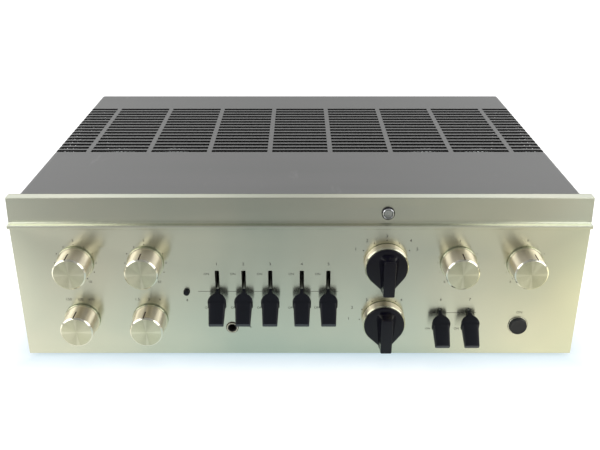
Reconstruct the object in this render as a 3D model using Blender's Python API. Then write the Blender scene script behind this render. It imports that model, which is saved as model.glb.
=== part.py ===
"""A tube integrated amplifier, built piece by piece.

A thick aluminium front panel carries the knobs, selectors, levers and buttons. Behind it a steel sub panel,
chassis, bottom plate and rear panel hold the switches, transformers and tubes. A folded, perforated cover
closes the top and sides. Lengths are in metres, +Z is up and the panel faces -Y. Places are measured from
the panel's lower face (Y), its bottom edge (Z) and its middle (X). One empty sets the whole on its surface.
"""
import math

import bmesh
import bpy
from mathutils import Vector

for old in list(bpy.data.objects):
    bpy.data.objects.remove(old, do_unlink=True)

# Fits that every piece shares
SEAT_GAP = 0.0003
RUNNING_GAP = 0.0003
CUT_OVERRUN = 0.002
SMOOTH_ANGLE = math.radians(40)
SMALL_SIDES = 8

# Front panel: plate, top lip, ridge and the band above it
PANEL_WIDTH = 0.452
PANEL_HEIGHT = 0.14025
PANEL_PLATE = 0.005
PANEL_LIP_DEPTH = 0.010
PANEL_LIP_HEIGHT = 0.004
BAND_HEIGHT = 0.0207
BAND_LEAN = 0.0017
RIDGE_HEIGHT = 0.0033
RIDGE_PROUD = 0.0047
RIDGE_CHAMFER = 0.0006
PANEL_FLOOR_GAP = 0.003

# Sheet metal: cover, sub panel, chassis, rear panel and bottom plate
STEEL_SHEET = 0.0015
COVER_SHEET = 0.0012
COVER_INSET = 0.0069
COVER_DROP = 0.0006
COVER_BEND = 0.003
COVER_BEND_STEPS = 2
COVER_BACK = 0.2979
REAR_PANEL_INSET = 0.0005
CONTROL_BAY_BACK = 0.068
DECK_TOP = 0.039
CHASSIS_WALL_HEIGHT = 0.048
FOOT_HEIGHT = 0.0117
FOOT_RADIUS = 0.0125
FOOT_TOP_RADIUS = 0.0115
FOOT_INSET = 0.032

# Perforations of the cover: rows of long openings between plain bars
ROW_COUNT = 16
BAY_COUNT = 7
SLOT_DEPTH = 0.0058
FRONT_STRIP = 0.0996
REAR_STRIP = 0.0496
END_BAY = 0.0304
BAR_WIDTH = 0.0042
SIDE_SLOT_DROP = 0.025

# Where the controls stand: columns as shares of half the panel's width, rows as shares of the height of the
# field under the ridge. The last four columns are the rear fittings, whose rows share the panel's height.
column_shares = {
    "bass": -0.78717,
    "treble": -0.54159,
    "tone_defeat": -0.40354,
    "low_boost": -0.29292,
    "headphone": -0.24602,
    "low_cut": -0.19912,
    "high_cut": -0.10486,
    "dubbing": 0.00664,
    "monitor": 0.10044,
    "selector": 0.30133,
    "recording": 0.50487,
    "balance": 0.55575,
    "attenuate": 0.60885,
    "volume": 0.78938,
    "power": 0.79204,
    "input_jacks": -0.52212,
    "speaker_terminals": 0.27434,
    "fuse": 0.66372,
    "gland": 0.79646,
}
row_shares = {
    "upper": 0.73118,
    "lower": 0.28645,
    "lever": 0.51096,
    "short_lever": 0.33892,
    "tone_defeat": 0.50839,
    "headphone": 0.22107,
    "power": 0.23656,
}
rear_row_shares = (0.62745, 0.41355)

# Round knobs on their shafts, and what they turn
KNOB_RADIUS = 0.0131
KNOB_LENGTH = 0.020
KNOB_CHAMFER = 0.0009
KNOB_LIFT = 0.0006
KNOB_SKIRT_RADIUS = 0.0145
KNOB_SKIRT = 0.0015
KNOB_SIDES = 20
SHAFT_RADIUS = 0.003
SHAFT_TAIL = 0.0100
BUSHING_RADIUS = 0.0047
BUSHING_LENGTH = 0.0056
BUSHING_SIDES = 10
POT_RADIUS = 0.012
POT_DEPTH = 0.0125
FREQUENCY_SWITCH_RADIUS = 0.0135
FREQUENCY_SWITCH_DEPTH = 0.018
SWITCH_SIDES = 12

# Selector knobs: a metal base ring under a black teardrop with a grip bar
BASE_RING_RADIUS = 0.0173
BASE_RING_LENGTH = 0.0080
POINTER_PLATE = 0.0021
POINTER_DISC_RADIUS = 0.0165
POINTER_TAIL_REACH = 0.0205
POINTER_TAIL_WIDTH = 0.0088
POINTER_TAIL_INSET = 0.0004
POINTER_FRONT = 0.0200
GRIP_WIDTH = 0.0082
GRIP_TOP_REACH = 0.0104
GRIP_FLARE = 0.0022
POINTER_SIDES = 18
SELECTOR_SWITCH_RADIUS = 0.0155
SELECTOR_SWITCH_DEPTH = 0.040
SELECTOR_CORE_RADIUS = 0.0055
wafer_place_shares = (0, 0.45, 0.9)

# Levers and their switches
LEVER_PIVOT = 0.045
LEVER_THROW = 0.0155
LEVER_REACH = 0.0240
LEVER_DROP = 0.0150
LEVER_CAP_WIDTH = 0.0146
LEVER_CHAMFER = 0.0008
ARM_WIDTH = 0.0028
ARM_HEIGHT = 0.0050
ARM_TAIL = 0.0030
TRUNNION_RADIUS = 0.0015
TRUNNION_BOSS_RADIUS = 0.0040
SLOT_WIDTH = 0.0034
SLOT_END_ROOM = 0.0006
SHORT_SLOT_ROOM = 0.0010
LEVER_FRAME_SHEET = 0.0012
LEVER_FRAME_HEIGHT = 0.028
LEVER_FRAME_FLANGE = 0.0125
LEVER_SWING_ROOM = 0.0034
LEVER_CONTACT_DEPTH = 0.009

# Tone defeat button and its switch
DEFEAT_RADIUS = 0.0024
DEFEAT_PROUD = 0.0030
DEFEAT_TRAVEL = 0.0020
DEFEAT_SWITCH_SIZE = 0.010
DEFEAT_SWITCH_DEPTH = 0.014

# Power button, its bezel and its switch
POWER_RADIUS = 0.0070
POWER_PROUD = 0.0030
POWER_TRAVEL = 0.0030
POWER_BUTTON_TAIL = 0.0060
POWER_BEZEL_RADIUS = 0.0079
POWER_BEZEL_LIP = 0.0006
POWER_PLUNGER_RADIUS = 0.0030
POWER_SWITCH_WIDTH = 0.018
POWER_SWITCH_HEIGHT = 0.016
POWER_SWITCH_DEPTH = 0.032

# Headphone jack
JACK_BORE_RADIUS = 0.0032
JACK_BUSHING_RADIUS = 0.0040
JACK_PROUD = 0.0008
JACK_BODY_WIDTH = 0.016
JACK_BODY_HEIGHT = 0.018
JACK_BODY_DEPTH = 0.028
JACK_BORE_LENGTH = 0.034
JACK_SIDES = 14

# Pilot lamp on the upper band
LAMP_RISE = 0.00825
LAMP_BEZEL_RADIUS = 0.0051
LAMP_BEZEL_PROUD = 0.0016
LAMP_BARREL_RADIUS = 0.0042
LAMP_JEWEL_RADIUS = 0.0033
LAMP_JEWEL_PROUD = 0.0020
LAMP_BARREL_LENGTH = 0.022
LAMP_SIDES = 14

# Transformers, tubes and capacitors on the deck
POWER_TRANSFORMER_WIDTH = 0.096
POWER_TRANSFORMER_DEPTH = 0.084
POWER_TRANSFORMER_HEADROOM = 0.012
OUTPUT_TRANSFORMER_WIDTH = 0.078
OUTPUT_TRANSFORMER_DEPTH = 0.070
OUTPUT_TRANSFORMER_HEADROOM = 0.018
TRANSFORMER_BACK_ROOM = 0.012
TRANSFORMER_SIDE_ROOM = 0.026
CORE_THICKNESS = 0.034
BELL_INSET = 0.008
TUBE_SIDES = 10
OUTPUT_TUBE_RADIUS = 0.018
OUTPUT_TUBE_BASE_RADIUS = 0.015
OUTPUT_TUBE_BASE_HEIGHT = 0.022
OUTPUT_TUBE_HEADROOM = 0.008
OUTPUT_TUBE_PITCH = 0.050
OUTPUT_TUBE_SIDE_ROOM = 0.0482
OUTPUT_TUBE_Y = 0.150
DRIVER_TUBE_RADIUS = 0.0105
DRIVER_TUBE_BASE_RADIUS = 0.0085
DRIVER_TUBE_BASE_HEIGHT = 0.012
DRIVER_TUBE_HEADROOM = 0.032
DRIVER_TUBE_SIDE_ROOM = 0.0932
DRIVER_TUBE_Y = 0.098
CAPACITOR_RADIUS = 0.020
CAPACITOR_HEADROOM = 0.025
CAPACITOR_Y = 0.150

# Main board under the deck
BOARD_WIDTH = 0.300
BOARD_DEPTH = 0.150
BOARD_SHEET = 0.0016
BOARD_Y = 0.170
SPACER_RADIUS = 0.0035
SPACER_HEIGHT = 0.0080
SPACER_INSET = 0.012

# What stands on the rear panel
REAR_SIDES = 12
INPUT_JACK_COLUMNS = 8
INPUT_JACK_PITCH = 0.018
INPUT_JACK_RADIUS = 0.0042
INPUT_JACK_LENGTH = 0.0095
TERMINAL_COLUMNS = 4
TERMINAL_PITCH = 0.019
TERMINAL_RADIUS = 0.0045
TERMINAL_LENGTH = 0.014
FUSE_RADIUS = 0.0075
FUSE_CAP_RADIUS = 0.0062
FUSE_LENGTH = 0.012
GLAND_BARREL_RADIUS = 0.006
GLAND_FLANGE_RADIUS = 0.009
GLAND_NOSE_RADIUS = 0.0055
GLAND_BORE_RADIUS = 0.0036
GLAND_LENGTH = 0.012
REAR_FLANGE = 0.002
STRIP_MARGIN = 0.009

# Places that follow from the sizes above
SUB_PANEL_FRONT = PANEL_LIP_DEPTH + SEAT_GAP
SUB_PANEL_BACK = SUB_PANEL_FRONT + STEEL_SHEET
MOUNT_FACE = SUB_PANEL_BACK + SEAT_GAP
COVER_FRONT = PANEL_LIP_DEPTH + SEAT_GAP
COVER_HALF = PANEL_WIDTH / 2 - COVER_INSET
COVER_TOP = PANEL_HEIGHT - COVER_DROP
COVER_UNDERSIDE = COVER_TOP - COVER_SHEET
WALL_TOP = COVER_UNDERSIDE - SEAT_GAP
WALL_HALF = COVER_HALF - COVER_SHEET - SEAT_GAP
REAR_PANEL_BACK = COVER_BACK - REAR_PANEL_INSET
REAR_PANEL_FRONT = REAR_PANEL_BACK - STEEL_SHEET
CHASSIS_BACK = REAR_PANEL_FRONT - SEAT_GAP
FLOOR = -PANEL_FLOOR_GAP
BOTTOM_PLATE_LOW = FLOOR + FOOT_HEIGHT + SEAT_GAP
BOTTOM_PLATE_HIGH = BOTTOM_PLATE_LOW + STEEL_SHEET
WALL_BOTTOM = BOTTOM_PLATE_HIGH + SEAT_GAP
DECK_SEAT = DECK_TOP + SEAT_GAP
REAR_SEAT = REAR_PANEL_BACK + SEAT_GAP
REAR_FACE = REAR_SEAT + REAR_FLANGE
RIDGE_TOP = PANEL_HEIGHT - BAND_HEIGHT
RIDGE_BOTTOM = RIDGE_TOP - RIDGE_HEIGHT
COLUMN = {name: share * PANEL_WIDTH / 2 for name, share in column_shares.items()}
ROW = {name: share * RIDGE_BOTTOM for name, share in row_shares.items()}
REAR_ROW, REAR_LOWER_ROW = [share * PANEL_HEIGHT for share in rear_row_shares]
SHAFT_BORE = SHAFT_RADIUS + RUNNING_GAP
SHAFT_BACK = MOUNT_FACE + SHAFT_TAIL
LEVER_TURN = math.atan(LEVER_THROW / LEVER_PIVOT)
FRONT_REACH = LEVER_REACH
BACK_REACH = REAR_SEAT + TERMINAL_LENGTH

# The whole stands on its surface, halfway between its foremost and rearmost points
amplifier = bpy.data.objects.new("amplifier", None)
bpy.context.collection.objects.link(amplifier)
amplifier.location = (0, (FRONT_REACH - BACK_REACH) / 2, PANEL_FLOOR_GAP)


def finish(name, colour, roughness, metallic):
    """One Principled material."""
    material = bpy.data.materials.new(name)
    material.use_nodes = True
    shader = material.node_tree.nodes["Principled BSDF"]
    shader.inputs["Base Color"].default_value = (*colour, 1)
    shader.inputs["Roughness"].default_value = roughness
    shader.inputs["Metallic"].default_value = metallic
    return material


CHAMPAGNE = finish("champagne_aluminium", (0.42, 0.44, 0.34), 0.32, 1)
GREY_PAINT = finish("grey_paint", (0.21, 0.21, 0.21), 0.45, 0)
BLACK_PLASTIC = finish("black_plastic", (0.018, 0.020, 0.026), 0.4, 0)
STEEL = finish("plated_steel", (0.45, 0.44, 0.40), 0.4, 1)
CHROME = finish("chrome", (0.6, 0.6, 0.6), 0.12, 1)
GLASS = finish("tube_glass", (0.45, 0.47, 0.47), 0.08, 0)
JEWEL = finish("pilot_jewel", (0.35, 0.36, 0.35), 0.1, 0)
CORE = finish("transformer_black", (0.03, 0.03, 0.03), 0.5, 0)
CAN = finish("capacitor_aluminium", (0.55, 0.55, 0.56), 0.35, 1)
BOARD = finish("board_laminate", (0.30, 0.17, 0.06), 0.6, 0)
RUBBER = finish("rubber", (0.02, 0.02, 0.02), 0.8, 0)
BRASS = finish("nickel_brass", (0.62, 0.55, 0.38), 0.3, 1)


def place(name, mesh, material, origin=(0, 0, 0)):
    """Makes a named object of a mesh drawn in the panel's frame, with its origin on its joint's axis."""
    bmesh.ops.recalc_face_normals(mesh, faces=mesh.faces)
    bmesh.ops.translate(mesh, vec=-Vector(origin), verts=mesh.verts)
    data = bpy.data.meshes.new(name)
    mesh.to_mesh(data)
    mesh.free()
    data.materials.append(material)
    data.shade_smooth()
    data.set_sharp_from_angle(angle=SMOOTH_ANGLE)
    piece = bpy.data.objects.new(name, data)
    piece.location = origin
    piece.parent = amplifier
    bpy.context.collection.objects.link(piece)
    return piece


def boolean(target, operation, mesh, origin=(0, 0, 0)):
    """Cuts the target with a hidden guide made of the mesh, or joins the mesh to it."""
    guide = place(target.name + "_" + operation.lower(), mesh, target.data.materials[0], origin)
    guide.hide_render = True
    guide.display_type = "WIRE"
    modifier = target.modifiers.new(operation.lower(), "BOOLEAN")
    modifier.operation = operation
    modifier.solver = "EXACT"
    modifier.object = guide


def on_axis(axis, along, across, up):
    """A point from its place along the axis and its two places across it."""
    if axis == "X":
        return (along, across, up)
    if axis == "Y":
        return (across, along, up)
    return (across, up, along)


def skin(mesh, one, other):
    """Faces between two rings of points, either of which may be a single point."""
    count = max(len(one), len(other))
    for step in range(count):
        after = (step + 1) % count
        corners = [one[step % len(one)], one[after % len(one)]]
        corners += [other[after % len(other)], other[step % len(other)]]
        mesh.faces.new(list(dict.fromkeys(corners)))


def turned(mesh, outline, axis, centre, sides):
    """Turns an outline of (radius, place on the axis) into a solid, or into a ring if no radius is zero."""
    rings = []
    for radius, along in outline:
        ring = []
        for step in range(sides if radius > 0 else 1):
            angle = 2 * math.pi * step / sides
            across = centre[0] + radius * math.cos(angle)
            up = centre[1] + radius * math.sin(angle)
            ring.append(mesh.verts.new(on_axis(axis, along, across, up)))
        rings.append(ring)
    for one, other in zip(rings, rings[1:]):
        skin(mesh, one, other)
    if outline[0][0] > 0:
        skin(mesh, rings[-1], rings[0])


def prism(mesh, outline, axis, low, high):
    """Extrudes an outline of (across, up) points along the axis."""
    start = [mesh.verts.new(on_axis(axis, low, across, up)) for across, up in outline]
    end = [mesh.verts.new(on_axis(axis, high, across, up)) for across, up in outline]
    skin(mesh, start, end)
    mesh.faces.new(start)
    mesh.faces.new(end)


def box(mesh, low, high):
    """A box between two corners."""
    outline = ((low[0], low[2]), (high[0], low[2]), (high[0], high[2]), (low[0], high[2]))
    prism(mesh, outline, "Y", low[1], high[1])


def loft(mesh, sections):
    """Skins sections of equally many points, closes both ends and splits what isn't flat."""
    rings = [[mesh.verts.new(point) for point in section] for section in sections]
    for one, other in zip(rings, rings[1:]):
        skin(mesh, one, other)
    mesh.faces.new(rings[0])
    mesh.faces.new(rings[-1])
    bmesh.ops.triangulate(mesh, faces=mesh.faces)


def arc(centre, radius, start, end, steps):
    """Points on an arc, in degrees, both ends among them."""
    angles = [math.radians(start + (end - start) * step / steps) for step in range(steps + 1)]
    return [(centre[0] + radius * math.cos(angle), centre[1] + radius * math.sin(angle)) for angle in angles]


def disc(radius, start, end):
    """The outline of a plain turned cylinder."""
    return ((0, start), (radius, start), (radius, end), (0, end))


def tube_ring(inner, outer, start, end):
    """The outline of a ring with a bore right through."""
    return ((inner, start), (outer, start), (outer, end), (inner, end))


KNOBS = (
    ("bass", COLUMN["bass"], ROW["upper"]),
    ("treble", COLUMN["treble"], ROW["upper"]),
    ("bass_frequency", COLUMN["bass"], ROW["lower"]),
    ("treble_frequency", COLUMN["treble"], ROW["lower"]),
    ("balance", COLUMN["balance"], ROW["upper"]),
    ("volume", COLUMN["volume"], ROW["upper"]),
)
SELECTORS = (
    ("input_selector", COLUMN["selector"], ROW["upper"]),
    ("mode_selector", COLUMN["selector"], ROW["lower"]),
)
SHAFTS = [(x, z) for name, x, z in KNOBS + SELECTORS]
LONG_LEVERS = (
    ("low_boost_lever", COLUMN["low_boost"], ROW["lever"]),
    ("low_cut_lever", COLUMN["low_cut"], ROW["lever"]),
    ("high_cut_lever", COLUMN["high_cut"], ROW["lever"]),
    ("dubbing_lever", COLUMN["dubbing"], ROW["lever"]),
    ("monitor_lever", COLUMN["monitor"], ROW["lever"]),
)
SHORT_LEVERS = (
    ("recording_lever", COLUMN["recording"], ROW["short_lever"]),
    ("attenuate_lever", COLUMN["attenuate"], ROW["short_lever"]),
)
LEVERS = LONG_LEVERS + SHORT_LEVERS
DEFEAT = (COLUMN["tone_defeat"], ROW["tone_defeat"])
POWER = (COLUMN["power"], ROW["power"])
HEADPHONE = (COLUMN["headphone"], ROW["headphone"])
LAMP = (COLUMN["selector"], RIDGE_TOP + LAMP_RISE)


def lever_slots(mesh, front, back):
    """Cutters for the lever slots of a plate between two depths, with room for the arm at its limits."""
    reach = math.tan(LEVER_TURN) * (LEVER_PIVOT - max(front, 0))
    edge = ARM_HEIGHT / 2 / math.cos(LEVER_TURN) + SLOT_END_ROOM
    for name, x, z in LEVERS:
        high = z + edge + (reach if z == ROW["lever"] else SHORT_SLOT_ROOM)
        corner = (x - SLOT_WIDTH / 2, front - CUT_OVERRUN, z - reach - edge)
        box(mesh, corner, (x + SLOT_WIDTH / 2, back + CUT_OVERRUN, high))


def front_panel():
    """The aluminium plate: one extruded section, then every hole in it."""
    section = (
        (0, 0),
        (0, RIDGE_BOTTOM),
        (-RIDGE_PROUD + RIDGE_CHAMFER, RIDGE_BOTTOM),
        (-RIDGE_PROUD, RIDGE_BOTTOM + RIDGE_CHAMFER),
        (-RIDGE_PROUD, RIDGE_TOP - RIDGE_CHAMFER),
        (-RIDGE_PROUD + RIDGE_CHAMFER, RIDGE_TOP),
        (0, RIDGE_TOP),
        (BAND_LEAN, PANEL_HEIGHT),
        (PANEL_LIP_DEPTH, PANEL_HEIGHT),
        (PANEL_LIP_DEPTH, PANEL_HEIGHT - PANEL_LIP_HEIGHT),
        (PANEL_PLATE, PANEL_HEIGHT - PANEL_LIP_HEIGHT),
        (PANEL_PLATE, 0),
    )
    mesh = bmesh.new()
    prism(mesh, section, "X", -PANEL_WIDTH / 2, PANEL_WIDTH / 2)
    panel = place("front_panel", mesh, CHAMPAGNE)
    holes = bmesh.new()
    front, back = -CUT_OVERRUN, PANEL_PLATE + CUT_OVERRUN
    for x, z in SHAFTS:
        turned(holes, disc(BUSHING_RADIUS + SEAT_GAP, front, back), "Y", (x, z), BUSHING_SIDES)
    lever_slots(holes, 0, PANEL_PLATE)
    for radius, centre in (
        (DEFEAT_RADIUS + RUNNING_GAP, DEFEAT),
        (POWER_BEZEL_RADIUS + SEAT_GAP, POWER),
        (JACK_BUSHING_RADIUS + SEAT_GAP, HEADPHONE),
        (LAMP_BARREL_RADIUS + SEAT_GAP, LAMP),
    ):
        turned(holes, disc(radius, front, back), "Y", centre, JACK_SIDES)
    boolean(panel, "DIFFERENCE", holes)


def cross_wall(name, front, back):
    """A steel wall from side to side under the cover, its top corners cut to clear the cover's bends."""
    corner = COVER_BEND - COVER_SHEET
    section = (
        (-WALL_HALF, WALL_BOTTOM),
        (WALL_HALF, WALL_BOTTOM),
        (WALL_HALF, WALL_TOP - corner),
        (WALL_HALF - corner, WALL_TOP),
        (-WALL_HALF + corner, WALL_TOP),
        (-WALL_HALF, WALL_TOP - corner),
    )
    mesh = bmesh.new()
    prism(mesh, section, "Y", front, back)
    return place(name, mesh, STEEL)


def sub_panel():
    """The steel wall behind the front panel, which the controls bolt to."""
    panel = cross_wall("sub_panel", SUB_PANEL_FRONT, SUB_PANEL_BACK)
    holes = bmesh.new()
    front, back = SUB_PANEL_FRONT - CUT_OVERRUN, SUB_PANEL_BACK + CUT_OVERRUN
    for x, z in SHAFTS:
        turned(holes, disc(BUSHING_RADIUS + SEAT_GAP, front, back), "Y", (x, z), BUSHING_SIDES)
    lever_slots(holes, SUB_PANEL_FRONT, SUB_PANEL_BACK)
    for radius, centre in (
        (DEFEAT_RADIUS + RUNNING_GAP, DEFEAT),
        (POWER_PLUNGER_RADIUS + RUNNING_GAP, POWER),
        (JACK_BUSHING_RADIUS + SEAT_GAP, HEADPHONE),
        (LAMP_BARREL_RADIUS + SEAT_GAP, LAMP),
    ):
        turned(holes, disc(radius, front, back), "Y", centre, JACK_SIDES)
    boolean(panel, "DIFFERENCE", holes)


def top_cover():
    """The folded sheet over the top and sides, and its rows of openings."""
    inner = COVER_BEND - COVER_SHEET
    left, right = -COVER_HALF + COVER_BEND, COVER_HALF - COVER_BEND
    level = COVER_TOP - COVER_BEND
    section = [(-COVER_HALF, WALL_BOTTOM)]
    section += arc((left, level), COVER_BEND, 180, 90, COVER_BEND_STEPS)
    section += arc((right, level), COVER_BEND, 90, 0, COVER_BEND_STEPS)
    section += [(COVER_HALF, WALL_BOTTOM), (COVER_HALF - COVER_SHEET, WALL_BOTTOM)]
    section += arc((right, level), inner, 0, 90, COVER_BEND_STEPS)
    section += arc((left, level), inner, 90, 180, COVER_BEND_STEPS)
    section += [(-COVER_HALF + COVER_SHEET, WALL_BOTTOM)]
    mesh = bmesh.new()
    prism(mesh, section, "Y", COVER_FRONT, COVER_BACK)
    cover = place("top_cover", mesh, GREY_PAINT)
    openings = bmesh.new()
    first = COVER_FRONT + FRONT_STRIP
    row_pitch = (COVER_BACK - REAR_STRIP - SLOT_DEPTH - first) / (ROW_COUNT - 1)
    bay = 2 * (COVER_HALF - END_BAY) / BAY_COUNT
    low, high = COVER_UNDERSIDE - CUT_OVERRUN, COVER_TOP + CUT_OVERRUN
    for row in range(ROW_COUNT):
        front = first + row * row_pitch
        back = front + SLOT_DEPTH
        for column in range(BAY_COUNT):
            start = -COVER_HALF + END_BAY + column * bay + BAR_WIDTH / 2
            box(openings, (start, front, low), (start + bay - BAR_WIDTH, back, high))
        outer = COVER_HALF + CUT_OVERRUN
        bar = COVER_HALF - END_BAY + BAR_WIDTH / 2
        box(openings, (-outer, front, COVER_TOP - SIDE_SLOT_DROP), (-bar, back, high))
        box(openings, (bar, front, COVER_TOP - SIDE_SLOT_DROP), (outer, back, high))
    boolean(cover, "DIFFERENCE", openings)


def chassis():
    """Side walls joined by the deck, which stops behind the controls."""
    wall = WALL_HALF - STEEL_SHEET
    wall_top = WALL_BOTTOM + CHASSIS_WALL_HEIGHT
    deck_low = DECK_TOP - STEEL_SHEET
    section = (
        (-WALL_HALF, WALL_BOTTOM),
        (-wall, WALL_BOTTOM),
        (-wall, deck_low),
        (wall, deck_low),
        (wall, WALL_BOTTOM),
        (WALL_HALF, WALL_BOTTOM),
        (WALL_HALF, wall_top),
        (wall, wall_top),
        (wall, DECK_TOP),
        (-wall, DECK_TOP),
        (-wall, wall_top),
        (-WALL_HALF, wall_top),
    )
    mesh = bmesh.new()
    prism(mesh, section, "Y", MOUNT_FACE, CHASSIS_BACK)
    piece = place("chassis", mesh, STEEL)
    bay = bmesh.new()
    corner = (-wall, MOUNT_FACE - CUT_OVERRUN, deck_low - CUT_OVERRUN)
    box(bay, corner, (wall, CONTROL_BAY_BACK, DECK_TOP + CUT_OVERRUN))
    boolean(piece, "DIFFERENCE", bay)


def shell_plates():
    """The bottom plate and the rear panel, with the hole that the cord gland sits in."""
    mesh = bmesh.new()
    corner = (-COVER_HALF, COVER_FRONT, BOTTOM_PLATE_LOW)
    box(mesh, corner, (COVER_HALF, REAR_PANEL_BACK, BOTTOM_PLATE_HIGH))
    place("bottom_plate", mesh, STEEL)
    panel = cross_wall("rear_panel", REAR_PANEL_FRONT, REAR_PANEL_BACK)
    hole = bmesh.new()
    front, back = REAR_PANEL_FRONT - CUT_OVERRUN, REAR_PANEL_BACK + CUT_OVERRUN
    outline = disc(GLAND_BARREL_RADIUS + SEAT_GAP, front, back)
    turned(hole, outline, "Y", (COLUMN["gland"], REAR_LOWER_ROW), REAR_SIDES)
    boolean(panel, "DIFFERENCE", hole)


def feet():
    """Four rubber feet under the bottom plate."""
    outline = (
        (0, FLOOR),
        (FOOT_RADIUS, FLOOR),
        (FOOT_TOP_RADIUS, FLOOR + FOOT_HEIGHT),
        (0, FLOOR + FOOT_HEIGHT),
    )
    for row, y in (("", COVER_FRONT + FOOT_INSET), ("rear_", REAR_PANEL_BACK - FOOT_INSET)):
        for side, x in (("left", FOOT_INSET - COVER_HALF), ("right", COVER_HALF - FOOT_INSET)):
            mesh = bmesh.new()
            turned(mesh, outline, "Z", (x, y), SWITCH_SIDES)
            place("foot_" + row + side, mesh, RUBBER)


def knob(name, x, z):
    """A turned aluminium knob with a skirt ring, in one with the shaft that it is pressed on."""
    back = -KNOB_LIFT
    front = back - KNOB_LENGTH
    outline = (
        (0, SHAFT_BACK),
        (SHAFT_RADIUS, SHAFT_BACK),
        (SHAFT_RADIUS, back),
        (KNOB_SKIRT_RADIUS, back),
        (KNOB_SKIRT_RADIUS, back - KNOB_SKIRT),
        (KNOB_RADIUS, back - KNOB_SKIRT),
        (KNOB_RADIUS, front + KNOB_CHAMFER),
        (KNOB_RADIUS - KNOB_CHAMFER, front),
        (0, front),
    )
    mesh = bmesh.new()
    turned(mesh, outline, "Y", (x, z), KNOB_SIDES)
    place(name + "_knob", mesh, CHAMPAGNE, (x, 0, z))


def selector(name, x, z):
    """A metal base ring, and the black teardrop over it with its grip bar and its shaft."""
    ring_back = -KNOB_LIFT
    ring_front = ring_back - BASE_RING_LENGTH
    plate_back = ring_front - SEAT_GAP
    plate_front = plate_back - POINTER_PLATE
    ring = tube_ring(SHAFT_RADIUS + SEAT_GAP, BASE_RING_RADIUS, ring_back, ring_front)
    mesh = bmesh.new()
    turned(mesh, ring, "Y", (x, z), KNOB_SIDES)
    place(name + "_base", mesh, CHAMPAGNE, (x, 0, z))

    half = POINTER_TAIL_WIDTH / 2
    tail, end = half - POINTER_TAIL_INSET, POINTER_TAIL_REACH - POINTER_TAIL_INSET
    corner = math.acos(POINTER_DISC_RADIUS / math.hypot(tail, end))
    tangent = math.degrees(math.atan2(-end, tail) + corner)
    outline = arc((x, z), POINTER_DISC_RADIUS, tangent, 180 - tangent, POINTER_SIDES)
    outline += [(x - tail, z - end), (x + tail, z - end)]
    mesh = bmesh.new()
    prism(mesh, outline, "Y", plate_front, plate_back)
    pointer = place(name + "_pointer", mesh, BLACK_PLASTIC, (x, 0, z))

    buried = (plate_front + plate_back) / 2
    top, bottom = z + GRIP_TOP_REACH, z - POINTER_TAIL_REACH
    grip = []
    for depth, flare in ((buried, GRIP_FLARE), (-POINTER_FRONT, 0)):
        upper = GRIP_WIDTH / 2 + flare
        corners = ((-upper, top), (upper, top), (half, bottom), (-half, bottom))
        grip.append([(x + across, depth, up) for across, up in corners])
    mesh = bmesh.new()
    loft(mesh, grip)
    boolean(pointer, "UNION", mesh, (x, 0, z))
    mesh = bmesh.new()
    turned(mesh, disc(SHAFT_RADIUS, buried, SHAFT_BACK), "Y", (x, z), BUSHING_SIDES)
    boolean(pointer, "UNION", mesh, (x, 0, z))


def control(name, x, z, profile, material):
    """A control behind the sub panel: its bushing, the profile of its body, and the bore for its shaft."""
    bushing_front = MOUNT_FACE - BUSHING_LENGTH
    bore_end = SHAFT_BACK + SEAT_GAP
    outline = [(0, bore_end), (SHAFT_BORE, bore_end), (SHAFT_BORE, bushing_front)]
    outline += [(BUSHING_RADIUS, bushing_front), (BUSHING_RADIUS, MOUNT_FACE)]
    outline += [(radius, MOUNT_FACE + depth) for radius, depth in profile]
    outline += [(0, MOUNT_FACE + profile[-1][1])]
    mesh = bmesh.new()
    turned(mesh, outline, "Y", (x, z), SWITCH_SIDES)
    place(name, mesh, material)


def controls():
    """The potentiometers and the rotary switches behind the knobs and selectors."""
    drum = ((POT_RADIUS, 0), (POT_RADIUS, POT_DEPTH))
    switch = ((FREQUENCY_SWITCH_RADIUS, 0), (FREQUENCY_SWITCH_RADIUS, FREQUENCY_SWITCH_DEPTH))
    for name, x, z in KNOBS:
        if z == ROW["upper"]:
            control(name + "_potentiometer", x, z, drum, STEEL)
        else:
            control(name + "_switch", x, z, switch, CORE)
    wafers = []
    for start_share in wafer_place_shares:
        start = SELECTOR_SWITCH_DEPTH * start_share
        end = start + STEEL_SHEET
        wafers += [(SELECTOR_CORE_RADIUS, start)] if start else []
        wafers += [(SELECTOR_SWITCH_RADIUS, start), (SELECTOR_SWITCH_RADIUS, end)]
        wafers += [(SELECTOR_CORE_RADIUS, end)]
    for name, x, z in SELECTORS:
        control(name + "_switch", x, z, wafers, BOARD)


# Side view of a lever's cap, from the slot to its tip. Each row is the upper edge's reach and rise and the
# lower edge's, as shares of the lever's reach and drop, and the width as a share of the cap's width.
lever_cap_shares = (
    (0.20, 0.140, 0.22, -0.280, 0.62),
    (0.30, -0.020, 0.265, -0.570, 1.00),
    (0.42, -0.200, 0.37, -0.750, 0.97),
    (1.00, -1.000, 0.915, -1.213, 0.795),
)
arm_front_share = 0.163


def lever_section(x, upper, lower, width):
    """Eight points round one section of the lever, with its corners taken off."""
    span = Vector((0, lower[0] - upper[0], lower[1] - upper[1]))
    inset = span.normalized() * LEVER_CHAMFER
    top, bottom = Vector((x, *upper)), Vector((x, *lower))
    wide, narrow = Vector((width / 2, 0, 0)), Vector((width / 2 - LEVER_CHAMFER, 0, 0))
    rows = ((top, narrow), (top + inset, wide), (bottom - inset, wide), (bottom, narrow))
    return [level + half for level, half in rows] + [level - half for level, half in reversed(rows)]


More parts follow.
